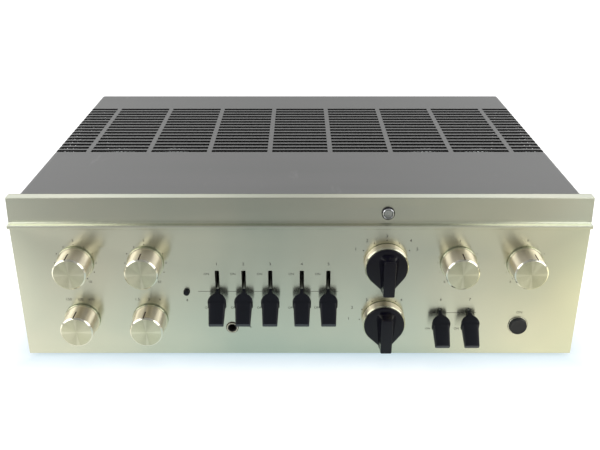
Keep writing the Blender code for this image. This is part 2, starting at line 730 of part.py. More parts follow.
def lever(name, x, z):
    """The lever: an arm through the slot, its cap in front, and the trunnions it rocks on behind."""
    half = ARM_HEIGHT / 2
    tail = LEVER_PIVOT - ARM_TAIL
    front = -LEVER_REACH * arm_front_share
    sections = [lever_section(x, (y, z + half), (y, z - half), ARM_WIDTH) for y in (tail, front)]
    for upper_out, upper_rise, lower_out, lower_rise, width in lever_cap_shares:
        upper = (-LEVER_REACH * upper_out, z + LEVER_DROP * upper_rise)
        lower = (-LEVER_REACH * lower_out, z + LEVER_DROP * lower_rise)
        sections.append(lever_section(x, upper, lower, LEVER_CAP_WIDTH * width))
    mesh = bmesh.new()
    loft(mesh, sections)
    piece = place(name, mesh, BLACK_PLASTIC, (x, LEVER_PIVOT, z))
    boss = SLOT_WIDTH / 2
    end = boss + RUNNING_GAP + LEVER_FRAME_SHEET
    outline = (
        (0, x - end),
        (TRUNNION_RADIUS, x - end),
        (TRUNNION_RADIUS, x - boss),
        (TRUNNION_BOSS_RADIUS, x - boss),
        (TRUNNION_BOSS_RADIUS, x + boss),
        (TRUNNION_RADIUS, x + boss),
        (TRUNNION_RADIUS, x + end),
        (0, x + end),
    )
    mesh = bmesh.new()
    turned(mesh, outline, "X", (LEVER_PIVOT, z), SMALL_SIDES)
    boolean(piece, "UNION", mesh, (x, LEVER_PIVOT, z))


def lever_bank(name, places):
    """Folded frames side by side on one flange, a channel for each lever, and contacts behind the pivots."""
    inner = SLOT_WIDTH / 2 + RUNNING_GAP
    outer = inner + LEVER_FRAME_SHEET
    flange = LEVER_FRAME_FLANGE / 2
    flange_back = MOUNT_FACE + LEVER_FRAME_SHEET
    block = LEVER_PIVOT + TRUNNION_BOSS_RADIUS + LEVER_SWING_ROOM
    back = block + LEVER_CONTACT_DEPTH
    xs = [x for lever_name, x, z in places]
    middle = places[0][2]
    section = [(xs[0] - flange, MOUNT_FACE)]
    for x in xs:
        section += [(x - inner, MOUNT_FACE), (x - inner, block)]
        section += [(x + inner, block), (x + inner, MOUNT_FACE)]
    section += [(xs[-1] + flange, MOUNT_FACE), (xs[-1] + flange, flange_back)]
    for x in reversed(xs):
        section += [(x + outer, flange_back), (x + outer, back)]
        section += [(x - outer, back), (x - outer, flange_back)]
    section += [(xs[0] - flange, flange_back)]
    mesh = bmesh.new()
    prism(mesh, section, "Z", middle - LEVER_FRAME_HEIGHT / 2, middle + LEVER_FRAME_HEIGHT / 2)
    bank = place(name, mesh, STEEL)
    holes = bmesh.new()
    for x in xs:
        outline = disc(TRUNNION_RADIUS + RUNNING_GAP, x - outer - CUT_OVERRUN, x + outer + CUT_OVERRUN)
        turned(holes, outline, "X", (LEVER_PIVOT, middle), SMALL_SIDES)
    boolean(bank, "DIFFERENCE", holes)


def switch_block(name, centre, size, bore_radius, bore_end, front_outline):
    """A boxed switch or jack behind the sub panel, joined to its turned front and bored from there."""
    x, z = centre
    width, height, depth = size
    corner = (x - width / 2, MOUNT_FACE, z - height / 2)
    mesh = bmesh.new()
    box(mesh, corner, (x + width / 2, MOUNT_FACE + depth, z + height / 2))
    piece = place(name, mesh, CORE)
    if front_outline:
        mesh = bmesh.new()
        turned(mesh, front_outline, "Y", centre, JACK_SIDES)
        boolean(piece, "UNION", mesh)
    bore = bmesh.new()
    front = -JACK_PROUD - CUT_OVERRUN if front_outline else MOUNT_FACE - CUT_OVERRUN
    turned(bore, disc(bore_radius, front, bore_end), "Y", centre, JACK_SIDES)
    boolean(piece, "DIFFERENCE", bore)


def tone_defeat():
    """The small push peg and the switch that it enters."""
    tail = MOUNT_FACE + DEFEAT_SWITCH_DEPTH / 2
    mesh = bmesh.new()
    turned(mesh, disc(DEFEAT_RADIUS, -DEFEAT_PROUD, tail), "Y", DEFEAT, SWITCH_SIDES)
    place("tone_defeat_button", mesh, BLACK_PLASTIC, (DEFEAT[0], 0, DEFEAT[1]))
    size = (DEFEAT_SWITCH_SIZE, DEFEAT_SWITCH_SIZE, DEFEAT_SWITCH_DEPTH)
    bore, bore_end = DEFEAT_RADIUS + RUNNING_GAP, tail + DEFEAT_TRAVEL + RUNNING_GAP
    switch_block("tone_defeat_switch", DEFEAT, size, bore, bore_end, None)


def power():
    """The round power button with its plunger, the bezel round it and the mains switch behind."""
    tail = MOUNT_FACE + POWER_SWITCH_DEPTH / 2
    outline = (
        (0, -POWER_PROUD),
        (POWER_RADIUS, -POWER_PROUD),
        (POWER_RADIUS, POWER_BUTTON_TAIL),
        (POWER_PLUNGER_RADIUS, POWER_BUTTON_TAIL),
        (POWER_PLUNGER_RADIUS, tail),
        (0, tail),
    )
    mesh = bmesh.new()
    turned(mesh, outline, "Y", POWER, JACK_SIDES)
    place("power_button", mesh, BLACK_PLASTIC, (POWER[0], 0, POWER[1]))
    mesh = bmesh.new()
    ring = tube_ring(POWER_RADIUS + RUNNING_GAP, POWER_BEZEL_RADIUS, -POWER_BEZEL_LIP, PANEL_PLATE)
    turned(mesh, ring, "Y", POWER, JACK_SIDES)
    place("power_bezel", mesh, CHAMPAGNE)
    size = (POWER_SWITCH_WIDTH, POWER_SWITCH_HEIGHT, POWER_SWITCH_DEPTH)
    bore, bore_end = POWER_PLUNGER_RADIUS + RUNNING_GAP, tail + POWER_TRAVEL + RUNNING_GAP
    switch_block("power_switch", POWER, size, bore, bore_end, None)


def headphone_jack():
    """The jack's body with its bored bushing through both panels."""
    size = (JACK_BODY_WIDTH, JACK_BODY_HEIGHT, JACK_BODY_DEPTH)
    bushing = disc(JACK_BUSHING_RADIUS, -JACK_PROUD, MOUNT_FACE + CUT_OVERRUN)
    switch_block("headphone_jack", HEADPHONE, size, JACK_BORE_RADIUS, JACK_BORE_LENGTH, bushing)


def pilot_lamp():
    """The lamp's bezel on the band, in one with its barrel through the panels, and the jewel in it."""
    seat = -SEAT_GAP
    front = seat - LAMP_BEZEL_PROUD
    jewel_back = PANEL_PLATE / 2
    cup = jewel_back + SEAT_GAP
    outline = (
        (0, cup),
        (LAMP_JEWEL_RADIUS + SEAT_GAP, cup),
        (LAMP_JEWEL_RADIUS + SEAT_GAP, front),
        (LAMP_BEZEL_RADIUS, front),
        (LAMP_BEZEL_RADIUS, seat),
        (LAMP_BARREL_RADIUS, seat),
        (LAMP_BARREL_RADIUS, LAMP_BARREL_LENGTH),
        (0, LAMP_BARREL_LENGTH),
    )
    mesh = bmesh.new()
    turned(mesh, outline, "Y", LAMP, LAMP_SIDES)
    place("pilot_bezel", mesh, CHROME)
    tip = front - LAMP_JEWEL_PROUD
    outline = (
        (0, tip),
        (LAMP_JEWEL_RADIUS / 2, tip + LAMP_JEWEL_PROUD / 4),
        (LAMP_JEWEL_RADIUS, front),
        (LAMP_JEWEL_RADIUS, jewel_back),
        (0, jewel_back),
    )
    mesh = bmesh.new()
    turned(mesh, outline, "Y", LAMP, LAMP_SIDES)
    place("pilot_jewel", mesh, JEWEL)


def transformer(name, x, width, depth, headroom):
    """A laminated core standing on the deck, with the bells over its windings front and back."""
    y = CHASSIS_BACK - TRANSFORMER_BACK_ROOM - depth / 2
    core = CORE_THICKNESS / 2
    half, bell, end = width / 2, width / 2 - BELL_INSET, depth / 2
    section = (
        (x - bell, y - end),
        (x + bell, y - end),
        (x + bell, y - core),
        (x + half, y - core),
        (x + half, y + core),
        (x + bell, y + core),
        (x + bell, y + end),
        (x - bell, y + end),
        (x - bell, y + core),
        (x - half, y + core),
        (x - half, y - core),
        (x - bell, y - core),
    )
    mesh = bmesh.new()
    prism(mesh, section, "Z", DECK_SEAT, COVER_UNDERSIDE - headroom)
    place(name, mesh, CORE)


def transformers():
    """The power transformer in the middle of the rear deck, and an output transformer at each side."""
    size = (POWER_TRANSFORMER_WIDTH, POWER_TRANSFORMER_DEPTH, POWER_TRANSFORMER_HEADROOM)
    transformer("power_transformer", 0, *size)
    size = (OUTPUT_TRANSFORMER_WIDTH, OUTPUT_TRANSFORMER_DEPTH, OUTPUT_TRANSFORMER_HEADROOM)
    side = WALL_HALF - STEEL_SHEET - TRANSFORMER_SIDE_ROOM - OUTPUT_TRANSFORMER_WIDTH / 2
    transformer("output_transformer_left", -side, *size)
    transformer("output_transformer_right", side, *size)


# A glass envelope from its shoulder to its tip: radius and height as shares of the radius and of the glass
envelope_shares = (
    (0.83, 0.00),
    (1.00, 0.08),
    (1.00, 0.72),
    (0.72, 0.90),
    (0.22, 0.95),
    (0.14, 1.00),
)


def tube(name, x, y, radius, base_radius, base_height, headroom):
    """A tube standing on the deck: its base, and its glass up to a little under the cover."""
    low = DECK_SEAT + base_height
    glass = COVER_UNDERSIDE - headroom - low
    outline = [(0, DECK_SEAT), (base_radius, DECK_SEAT), (base_radius, low)]
    outline += [(radius * r, low + glass * h) for r, h in envelope_shares]
    outline += [(0, low + glass)]
    mesh = bmesh.new()
    turned(mesh, outline, "Z", (x, y), TUBE_SIDES)
    place(name, mesh, GLASS)


def tubes():
    """Two pairs of output tubes, and a smaller driver tube in front of each pair."""
    inside = WALL_HALF - STEEL_SHEET
    size = (OUTPUT_TUBE_RADIUS, OUTPUT_TUBE_BASE_RADIUS, OUTPUT_TUBE_BASE_HEIGHT, OUTPUT_TUBE_HEADROOM)
    outer = inside - OUTPUT_TUBE_SIDE_ROOM
    for number, offset in enumerate((-outer, OUTPUT_TUBE_PITCH - outer, outer - OUTPUT_TUBE_PITCH, outer)):
        tube("output_tube_" + str(number + 1), offset, OUTPUT_TUBE_Y, *size)
    middle = inside - DRIVER_TUBE_SIDE_ROOM
    size = (DRIVER_TUBE_RADIUS, DRIVER_TUBE_BASE_RADIUS, DRIVER_TUBE_BASE_HEIGHT, DRIVER_TUBE_HEADROOM)
    tube("driver_tube_left", -middle, DRIVER_TUBE_Y, *size)
    tube("driver_tube_right", middle, DRIVER_TUBE_Y, *size)


def filter_capacitor():
    """The can between the pairs of output tubes."""
    can = disc(CAPACITOR_RADIUS, DECK_SEAT, COVER_UNDERSIDE - CAPACITOR_HEADROOM)
    mesh = bmesh.new()
    turned(mesh, can, "Z", (0, CAPACITOR_Y), TUBE_SIDES)
    place("filter_capacitor", mesh, CAN)


def main_board():
    """The circuit board under the deck, with the four spacers that are pressed into it."""
    low = WALL_BOTTOM + SPACER_HEIGHT
    high = low + BOARD_SHEET
    half_width, half_depth = BOARD_WIDTH / 2, BOARD_DEPTH / 2
    mesh = bmesh.new()
    box(mesh, (-half_width, BOARD_Y - half_depth, low), (half_width, BOARD_Y + half_depth, high))
    board = place("main_board", mesh, BOARD)
    spacers = bmesh.new()
    for side in (-1, 1):
        for end in (-1, 1):
            across, along = side * (half_width - SPACER_INSET), end * (half_depth - SPACER_INSET)
            spacer = disc(SPACER_RADIUS, WALL_BOTTOM, (low + high) / 2)
            turned(spacers, spacer, "Z", (across, BOARD_Y + along), SMALL_SIDES)
    boolean(board, "UNION", spacers)


def rear_strip(name, columns, pitch, outline, material):
    """A strip on the rear panel with two rows of turned fittings joined to it."""
    middle = COLUMN[name]
    half = (columns - 1) * pitch / 2 + STRIP_MARGIN
    corner = (middle - half, REAR_SEAT, REAR_LOWER_ROW - STRIP_MARGIN)
    mesh = bmesh.new()
    box(mesh, corner, (middle + half, REAR_FACE, REAR_ROW + STRIP_MARGIN))
    strip = place(name, mesh, material)
    fittings = bmesh.new()
    for z in (REAR_ROW, REAR_LOWER_ROW):
        for step in range(columns):
            x = middle + (step - (columns - 1) / 2) * pitch
            turned(fittings, outline, "Y", (x, z), SMALL_SIDES)
    boolean(strip, "UNION", fittings)


def rear_fittings():
    """Input jacks, speaker terminals, fuse holder and cord gland on the rear panel."""
    root = (REAR_SEAT + REAR_FACE) / 2
    outline = disc(INPUT_JACK_RADIUS, root, REAR_SEAT + INPUT_JACK_LENGTH)
    rear_strip("input_jacks", INPUT_JACK_COLUMNS, INPUT_JACK_PITCH, outline, BRASS)
    outline = disc(TERMINAL_RADIUS, root, REAR_SEAT + TERMINAL_LENGTH)
    rear_strip("speaker_terminals", TERMINAL_COLUMNS, TERMINAL_PITCH, outline, BLACK_PLASTIC)
    mesh = bmesh.new()
    tip = REAR_SEAT + FUSE_LENGTH
    outline = (
        (0, REAR_SEAT),
        (FUSE_RADIUS, REAR_SEAT),
        (FUSE_RADIUS, REAR_FACE),
        (FUSE_CAP_RADIUS, REAR_FACE),
        (FUSE_CAP_RADIUS, tip),
        (0, tip),
    )
    turned(mesh, outline, "Y", (COLUMN["fuse"], REAR_LOWER_ROW), REAR_SIDES)
    place("fuse_holder", mesh, BLACK_PLASTIC)
    mesh = bmesh.new()
    tip = REAR_SEAT + GLAND_LENGTH
    outline = (
        (GLAND_BORE_RADIUS, REAR_PANEL_FRONT),
        (GLAND_BARREL_RADIUS, REAR_PANEL_FRONT),
        (GLAND_BARREL_RADIUS, REAR_SEAT),
        (GLAND_FLANGE_RADIUS, REAR_SEAT),
        (GLAND_FLANGE_RADIUS, REAR_FACE),
        (GLAND_NOSE_RADIUS, tip),
        (GLAND_BORE_RADIUS, tip),
    )
    turned(mesh, outline, "Y", (COLUMN["gland"], REAR_LOWER_ROW), REAR_SIDES)
    place("cord_gland", mesh, RUBBER)


front_panel()
sub_panel()
chassis()
shell_plates()
feet()
top_cover()
for knob_name, knob_x, knob_z in KNOBS:
    knob(knob_name, knob_x, knob_z)
for selector_name, selector_x, selector_z in SELECTORS:
    selector(selector_name, selector_x, selector_z)
controls()
for lever_name, lever_x, lever_z in LEVERS:
    lever(lever_name, lever_x, lever_z)
lever_bank("lever_switch_bank", LONG_LEVERS)
lever_bank("short_lever_switch_bank", SHORT_LEVERS)
tone_defeat()
power()
headphone_jack()
pilot_lamp()
transformers()
tubes()
filter_capacitor()
main_board()
rear_fittings()
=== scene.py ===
import math
from functools import partial

import bmesh
import bpy
from mathutils import Matrix, Vector


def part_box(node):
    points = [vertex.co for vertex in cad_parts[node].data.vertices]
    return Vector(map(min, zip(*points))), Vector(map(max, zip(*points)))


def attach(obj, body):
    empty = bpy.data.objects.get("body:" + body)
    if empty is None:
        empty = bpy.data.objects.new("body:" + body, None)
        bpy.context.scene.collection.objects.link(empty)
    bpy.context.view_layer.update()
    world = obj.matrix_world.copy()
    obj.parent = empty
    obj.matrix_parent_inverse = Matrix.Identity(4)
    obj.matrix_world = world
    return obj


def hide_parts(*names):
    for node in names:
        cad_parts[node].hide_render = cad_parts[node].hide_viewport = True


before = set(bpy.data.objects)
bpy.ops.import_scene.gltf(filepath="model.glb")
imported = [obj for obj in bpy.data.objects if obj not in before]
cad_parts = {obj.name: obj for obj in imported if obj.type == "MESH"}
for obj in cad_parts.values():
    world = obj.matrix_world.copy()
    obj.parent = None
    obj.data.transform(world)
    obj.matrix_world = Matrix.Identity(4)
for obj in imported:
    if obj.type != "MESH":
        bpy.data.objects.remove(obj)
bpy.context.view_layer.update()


# Chassis, sub panel and bottom plate.
# Folded and punched sheet steel, zinc plated: a silver with the cloudy bloom that plating gets with
# age, kept dark all over as painted shade for the dim inside of the case. They are screwed together
# through their flanges before anything is mounted.
RIDGE_PROUD = 0.0047
# Everything is drawn in the front panel's frame: across from its middle, back from its face, up
# from its lower edge. This is where that frame stands.
panel_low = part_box("front_panel")[0]
PLACE = Vector((0, panel_low.y + RIDGE_PROUD, panel_low.z))


def node(tree, kind, inputs=None, **settings):
    """One node of a material or a geometry tree, with its inputs filled or linked."""
    made = tree.nodes.new(kind)
    for name, value in settings.items():
        setattr(made, name, value)
    for key, value in (inputs or {}).items():
        if isinstance(value, bpy.types.NodeSocket):
            tree.links.new(value, made.inputs[key])
        else:
            made.inputs[key].default_value = value
    return made


def finish(name, colour, **plain):
    """A material whose even values sit on its shader; returns it with its tree, shader and places."""
    material = bpy.data.materials.new(name)
    material.use_nodes = True
    material.diffuse_color = (*colour, 1)
    tree = material.node_tree
    shader = tree.nodes["Principled BSDF"]
    shader.inputs["Base Color"].default_value = (*colour, 1)
    for socket, value in plain.items():
        shader.inputs[socket.replace("_", " ")].default_value = value
    places = node(tree, "ShaderNodeTexCoord").outputs["Object"]
    return material, tree, shader, places


def stretched(places, across, back, up):
    """The places scaled along each axis, for a pattern that runs one way."""
    values = {"Vector": places, "Scale": (across, back, up)}
    return node(places.id_data, "ShaderNodeMapping", values).outputs[0]


def clouds(places, scale, detail=3.0, roughness=0.5):
    """A soft random pattern between 0 and 1."""
    values = {"Vector": places, "Scale": scale, "Detail": detail, "Roughness": roughness}
    return node(places.id_data, "ShaderNodeTexNoise", values).outputs["Fac"]


def ranged(value, start, end, low, high):
    """The value carried from one range to another, and held at its ends."""
    values = {"Value": value, "From Min": start, "From Max": end, "To Min": low, "To Max": high}
    return node(value.id_data, "ShaderNodeMapRange", values).outputs["Result"]


def mixed(amount, one, other):
    """One colour turned into another by an amount."""
    values = {0: amount}
    values[6] = one if isinstance(one, bpy.types.NodeSocket) else (*one, 1)
    values[7] = other if isinstance(other, bpy.types.NodeSocket) else (*other, 1)
    return node(amount.id_data, "ShaderNodeMix", values, data_type="RGBA").outputs[2]


def parts_of(vector):
    """The three numbers of a vector."""
    return node(vector.id_data, "ShaderNodeSeparateXYZ", {0: vector}).outputs


def feed(value, shader, name):
    """Leads a value or colour into one of the shader's inputs."""
    shader.id_data.links.new(value, shader.inputs[name])


def relief(shader, height, depth, strength=1.0):
    """Raises the surface by a pattern of the given depth in metres."""
    bump = node(shader.id_data, "ShaderNodeBump", {"Height": height, "Distance": depth, "Strength": strength})
    feed(bump.outputs["Normal"], shader, "Normal")


def dress(material, *names):
    """Gives pieces carried over from the frame their finish."""
    for name in names:
        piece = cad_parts[name]
        for slot in piece.material_slots:
            slot.material = material
        if not piece.material_slots:
            piece.data.materials.append(material)


plated_steel, tree, shader, places = finish("plated_steel", (0.34, 0.33, 0.3), Metallic=1.0)
bloom = clouds(places, 34.0, 5.0, 0.6)
rolled = clouds(stretched(places, 12.0, 900.0, 900.0), 1.0, 2.0)
# Both tones are darker than fresh plating: painted shade for the dim inside of the case.
cloudy = mixed(ranged(bloom, 0.35, 0.68, 0.0, 1.0), (0.26, 0.25, 0.225), (0.4, 0.39, 0.36))
feed(mixed(ranged(rolled, 0.3, 0.7, 0.0, 0.25), cloudy, (0.46, 0.45, 0.42)), shader, "Base Color")
feed(ranged(bloom, 0.3, 0.7, 0.3, 0.46), shader, "Roughness")
relief(shader, rolled, 0.00002, 0.4)
dress(plated_steel, "chassis", "sub_panel", "bottom_plate")


# Four feet.
# Turned from black rubber, a little wider at the floor, each held to the bottom plate by one
# screw sunk into its middle.
FOOT_RADIUS = 0.0125
FOOT_NECK = 0.0115
FOOT_EDGE = 0.0012
FOOT_RECESS = 0.0052
FOOT_RECESS_DEPTH = 0.0045


def worked(name, colour, cloud, tones=(), rough=(), reach=(0.3, 0.7), cover=None, blotch=None, grain=None,
           raised=None, **plain):
    """A finish under one random pattern: the two tones it runs between, how rough it leaves the surface, and
    how far it is raised. A blotch is a second pattern for the tones; cover says how far they take over."""
    material, tree, shader, places = finish(name, colour, **plain)
    pattern = clouds(stretched(places, *grain) if grain else places, *cloud)
    if tones:
        amount = clouds(places, *blotch) if blotch else pattern
        feed(mixed(ranged(amount, *cover) if cover else amount, *tones), shader, "Base Color")
    if rough:
        feed(ranged(pattern, *reach, *rough), shader, "Roughness")
    if raised:
        relief(shader, pattern, *raised)
    return material


def span(name):
    """A node's box in the panel's frame: its lowest corner, its highest and its middle."""
    low, high = [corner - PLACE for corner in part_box(name)]
    return low, high, (low + high) / 2


def rounded(points, radius, steps=3, closed=False):
    """An outline with its corners rounded, as far as its sides leave room for it."""
    smooth = []
    count = len(points)
    for index, point in enumerate(points):
        here = Vector(point)
        before, after = Vector(points[index - 1]) - here, Vector(points[(index + 1) % count]) - here
        size = radius[index] if isinstance(radius, (list, tuple)) else radius
        outer = not closed and index in (0, count - 1)
        opening = math.pi if outer or not size else before.angle(after)
        if opening > math.radians(176):
            smooth.append(tuple(here))
            continue
        cut = min(size / math.tan(opening / 2), before.length * 0.48, after.length * 0.48)
        before.normalize()
        after.normalize()
        size = cut * math.tan(opening / 2)
        middle = here + (before + after).normalized() * size / math.sin(opening / 2)
        start, end = here + before * cut - middle, here + after * cut - middle
        for step in range(steps + 1):
            part = step / steps
            spoke = start * (1 - part) + end * part
            smooth.append(tuple(middle + spoke.normalized() * size))
    return smooth


def lathe(shape, outline, centre, axis="Y", sides=96, bands=None):
    """Turns an outline of (radius, place along the axis) points about the axis. The grain map gives the
    way along the outline and the turn, for finishes that follow the turning; bands number the finishes."""
    grain = shape.loops.layers.uv.get("grain") or shape.loops.layers.uv.new("grain")
    turns = [2 * math.pi * step / sides for step in range(sides)]
    rings, ways = [], [0.0]
    for index, (radius, along) in enumerate(outline):
        if index:
            ways.append(ways[-1] + (Vector(outline[index]) - Vector(outline[index - 1])).length)
        ring = []
        for turn in turns if radius > 1e-7 else turns[:1]:
            one, two = radius * math.cos(turn), radius * math.sin(turn)
            spot = {"X": (along, one, two), "Y": (one, along, two), "Z": (one, two, along)}[axis]
            ring.append(shape.verts.new(Vector(centre) + Vector(spot)))
        rings.append(ring)
    faces = []
    for index in range(len(rings) - 1):
        one, two = rings[index], rings[index + 1]
        for step in range(sides):
            after = step + 1
            corners = []
            if len(one) > 1:
                corners += [(one[step], ways[index], step), (one[after % sides], ways[index], after)]
            else:
                corners += [(one[0], ways[index], step + 0.5)]
            if len(two) > 1:
                corners += [(two[after % sides], ways[index + 1], after), (two[step], ways[index + 1], step)]
            else:
                corners += [(two[0], ways[index + 1], step + 0.5)]
            if len(corners) < 3:
                continue
            face = shape.faces.new([corner[0] for corner in corners])
            face.material_index = bands[index] if bands else 0
            for loop, corner in zip(face.loops, corners):
                loop[grain].uv = (corner[1] * 100, corner[2] / sides)
            faces.append(face)
    bmesh.ops.recalc_face_normals(shape, faces=faces)
    return faces


def settle(name, shape, finishes, body, stands_for=(), sharp=35):
    """Makes a shape drawn in the panel's frame a piece in its place, riding on its body."""
    bmesh.ops.translate(shape, vec=PLACE, verts=shape.verts)
    data = bpy.data.meshes.new(name)
    shape.to_mesh(data)
    shape.free()
    for material in finishes if isinstance(finishes, (list, tuple)) else [finishes]:
        data.materials.append(material)
    data.shade_smooth()
    data.set_sharp_from_angle(angle=math.radians(sharp))
    piece = bpy.data.objects.new(name, data)
    bpy.context.collection.objects.link(piece)
    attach(piece, body)
    if stands_for:
        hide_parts(*stands_for)
    return piece


rubber = worked("rubber", (0.022, 0.022, 0.023), (900.0, 4.0, 0.65),
                ((0.016, 0.016, 0.017), (0.055, 0.053, 0.05)), (0.6, 0.82), cover=(0.5, 0.75, 0.0, 0.5),
                blotch=(70.0, 3.0), raised=(0.00008, 0.5))

for name in ("foot_left", "foot_right", "foot_rear_left", "foot_rear_right"):
    low, high = span(name)[:2]
    floor, top = low.z, high.z
    outline = [(0, floor + FOOT_RECESS_DEPTH), (FOOT_RECESS, floor + FOOT_RECESS_DEPTH),
               (FOOT_RECESS, floor), (FOOT_RADIUS, floor), (FOOT_NECK, top), (0, top)]
    shape = bmesh.new()
    middle = (low + high) / 2
    lathe(shape, rounded(outline, [0, 0, 0.0004, FOOT_EDGE, 0.0006, 0]), (middle.x, middle.y, 0), "Z", 64)
    settle(name + "_turned", shape, rubber, "housing", [name])


# Power transformer and two output transformers.
# Stacks of varnished iron laminations between pressed black bells, pulled together by four long
# bolts and standing on the deck.
CORE_THICKNESS = 0.034
BELL_INSET = 0.008
BELL_CORNER = 0.007
LAMINATION = 0.0007
BOLT_RADIUS = 0.0034
BOLT_STAND = 0.0026


def block(shape, low, high, radius=0.0, steps=2, finish_number=0):
    """A box with rounded edges."""
    corners = bmesh.ops.create_cube(shape, size=1)["verts"]
    for corner in corners:
        corner.co = [a + (b - a) * (c + 0.5) for a, b, c in zip(low, high, corner.co)]
    faces = {face for corner in corners for face in corner.link_faces}
    for face in faces:
        face.material_index = finish_number
    if radius:
        edges = list({edge for corner in corners for edge in corner.link_edges})
        bmesh.ops.bevel(shape, geom=edges, offset=radius, segments=steps, profile=0.5,
                        affect="EDGES", clamp_overlap=True)


transformer_iron, tree, shader, places = finish("transformer_iron", (0.03, 0.029, 0.028), Metallic=0.0)
stack = node(tree, "ShaderNodeTexWave", {"Vector": stretched(places, 0.0, 1.0, 0.0),
                                         "Scale": 0.31 / LAMINATION, "Distortion": 0.6},
             wave_type="BANDS", bands_direction="Y").outputs["Fac"]
varnish = clouds(places, 60.0, 4.0, 0.6)
feed(mixed(ranged(stack, 0.2, 0.9, 0.0, 0.45), (0.018, 0.017, 0.016), (0.075, 0.068, 0.058)), shader,
     "Base Color")
feed(ranged(varnish, 0.3, 0.7, 0.3, 0.62), shader, "Roughness")
relief(shader, stack, 0.00025, 0.7)

bell_black = worked("bell_black", (0.02, 0.02, 0.021), (260.0, 3.0),
                    ((0.014, 0.014, 0.015), (0.036, 0.035, 0.034)), (0.26, 0.42), blotch=(22.0,),
                    raised=(0.00006, 0.6))

for name in ("power_transformer", "output_transformer_left", "output_transformer_right"):
    low, high, middle = span(name)
    half_core = CORE_THICKNESS / 2
    shape = bmesh.new()
    block(shape, (low.x, middle.y - half_core, low.z), (high.x, middle.y + half_core, high.z), 0.0007, 1)
    for front, back in ((low.y, middle.y - half_core + 0.001), (middle.y + half_core - 0.001, high.y)):
        block(shape, (low.x + BELL_INSET, front, low.z), (high.x - BELL_INSET, back, high.z - 0.003),
              BELL_CORNER, 4, 1)
    for x in (low.x + BELL_INSET / 2, high.x - BELL_INSET / 2):
        for z in (low.z + 0.008, high.z - 0.008):
            for way in (-1, 1):
                face = middle.y + way * half_core
                outline = rounded([(0, face + way * BOLT_STAND), (BOLT_RADIUS, face + way * BOLT_STAND),
                                   (BOLT_RADIUS, face - way * 0.0005), (0, face - way * 0.0005)], 0.0003, 2)
                lathe(shape, outline, (x, 0, z), "Y", 6, [2] * (len(outline) - 1))
    settle(name + "_stack", shape, [transformer_iron, bell_black, plated_steel], "housing",
           [name])


# Four output tubes and two driver tubes.
# Blown glass bulbs over black phenolic bases. Inside stand the grey plates with their ribs, and
# the getter has left a silver mirror under the dome. They push into sockets riveted to the deck.
GLASS_WALL = 0.0009
BASE_RIM = 0.0012
LARGE_BASE = (0.015, 0.022)
SMALL_BASE = (0.0085, 0.012)
DOME_SHARE = 0.62


def welded(shape):
    """Joins the two ends of an outline that was turned as a closed ring."""
    bmesh.ops.remove_doubles(shape, verts=shape.verts, dist=1e-6)


base_black = worked("base_black", (0.02, 0.017, 0.015), (120.0, 4.0, 0.6),
                    ((0.012, 0.01, 0.009), (0.04, 0.03, 0.024)), (0.3, 0.5))
plate_grey = worked("plate_grey", (0.13, 0.13, 0.135), (140.0, 4.0, 0.6),
                    ((0.07, 0.07, 0.075), (0.2, 0.2, 0.205)), (0.45, 0.7), raised=(0.00005, 0.5),
                    Metallic=0.6)
getter = worked("getter_mirror", (0.62, 0.62, 0.63), (160.0, 4.0, 0.6),
                ((0.4, 0.38, 0.36), (0.74, 0.74, 0.76)), (0.06, 0.28), Metallic=1.0)
tube_glass = worked("tube_glass", (0.93, 0.96, 0.95), (90.0, 4.0, 0.6), (), (0.02, 0.12), reach=(0.45, 0.75),
                    IOR=1.48, Transmission_Weight=1.0)

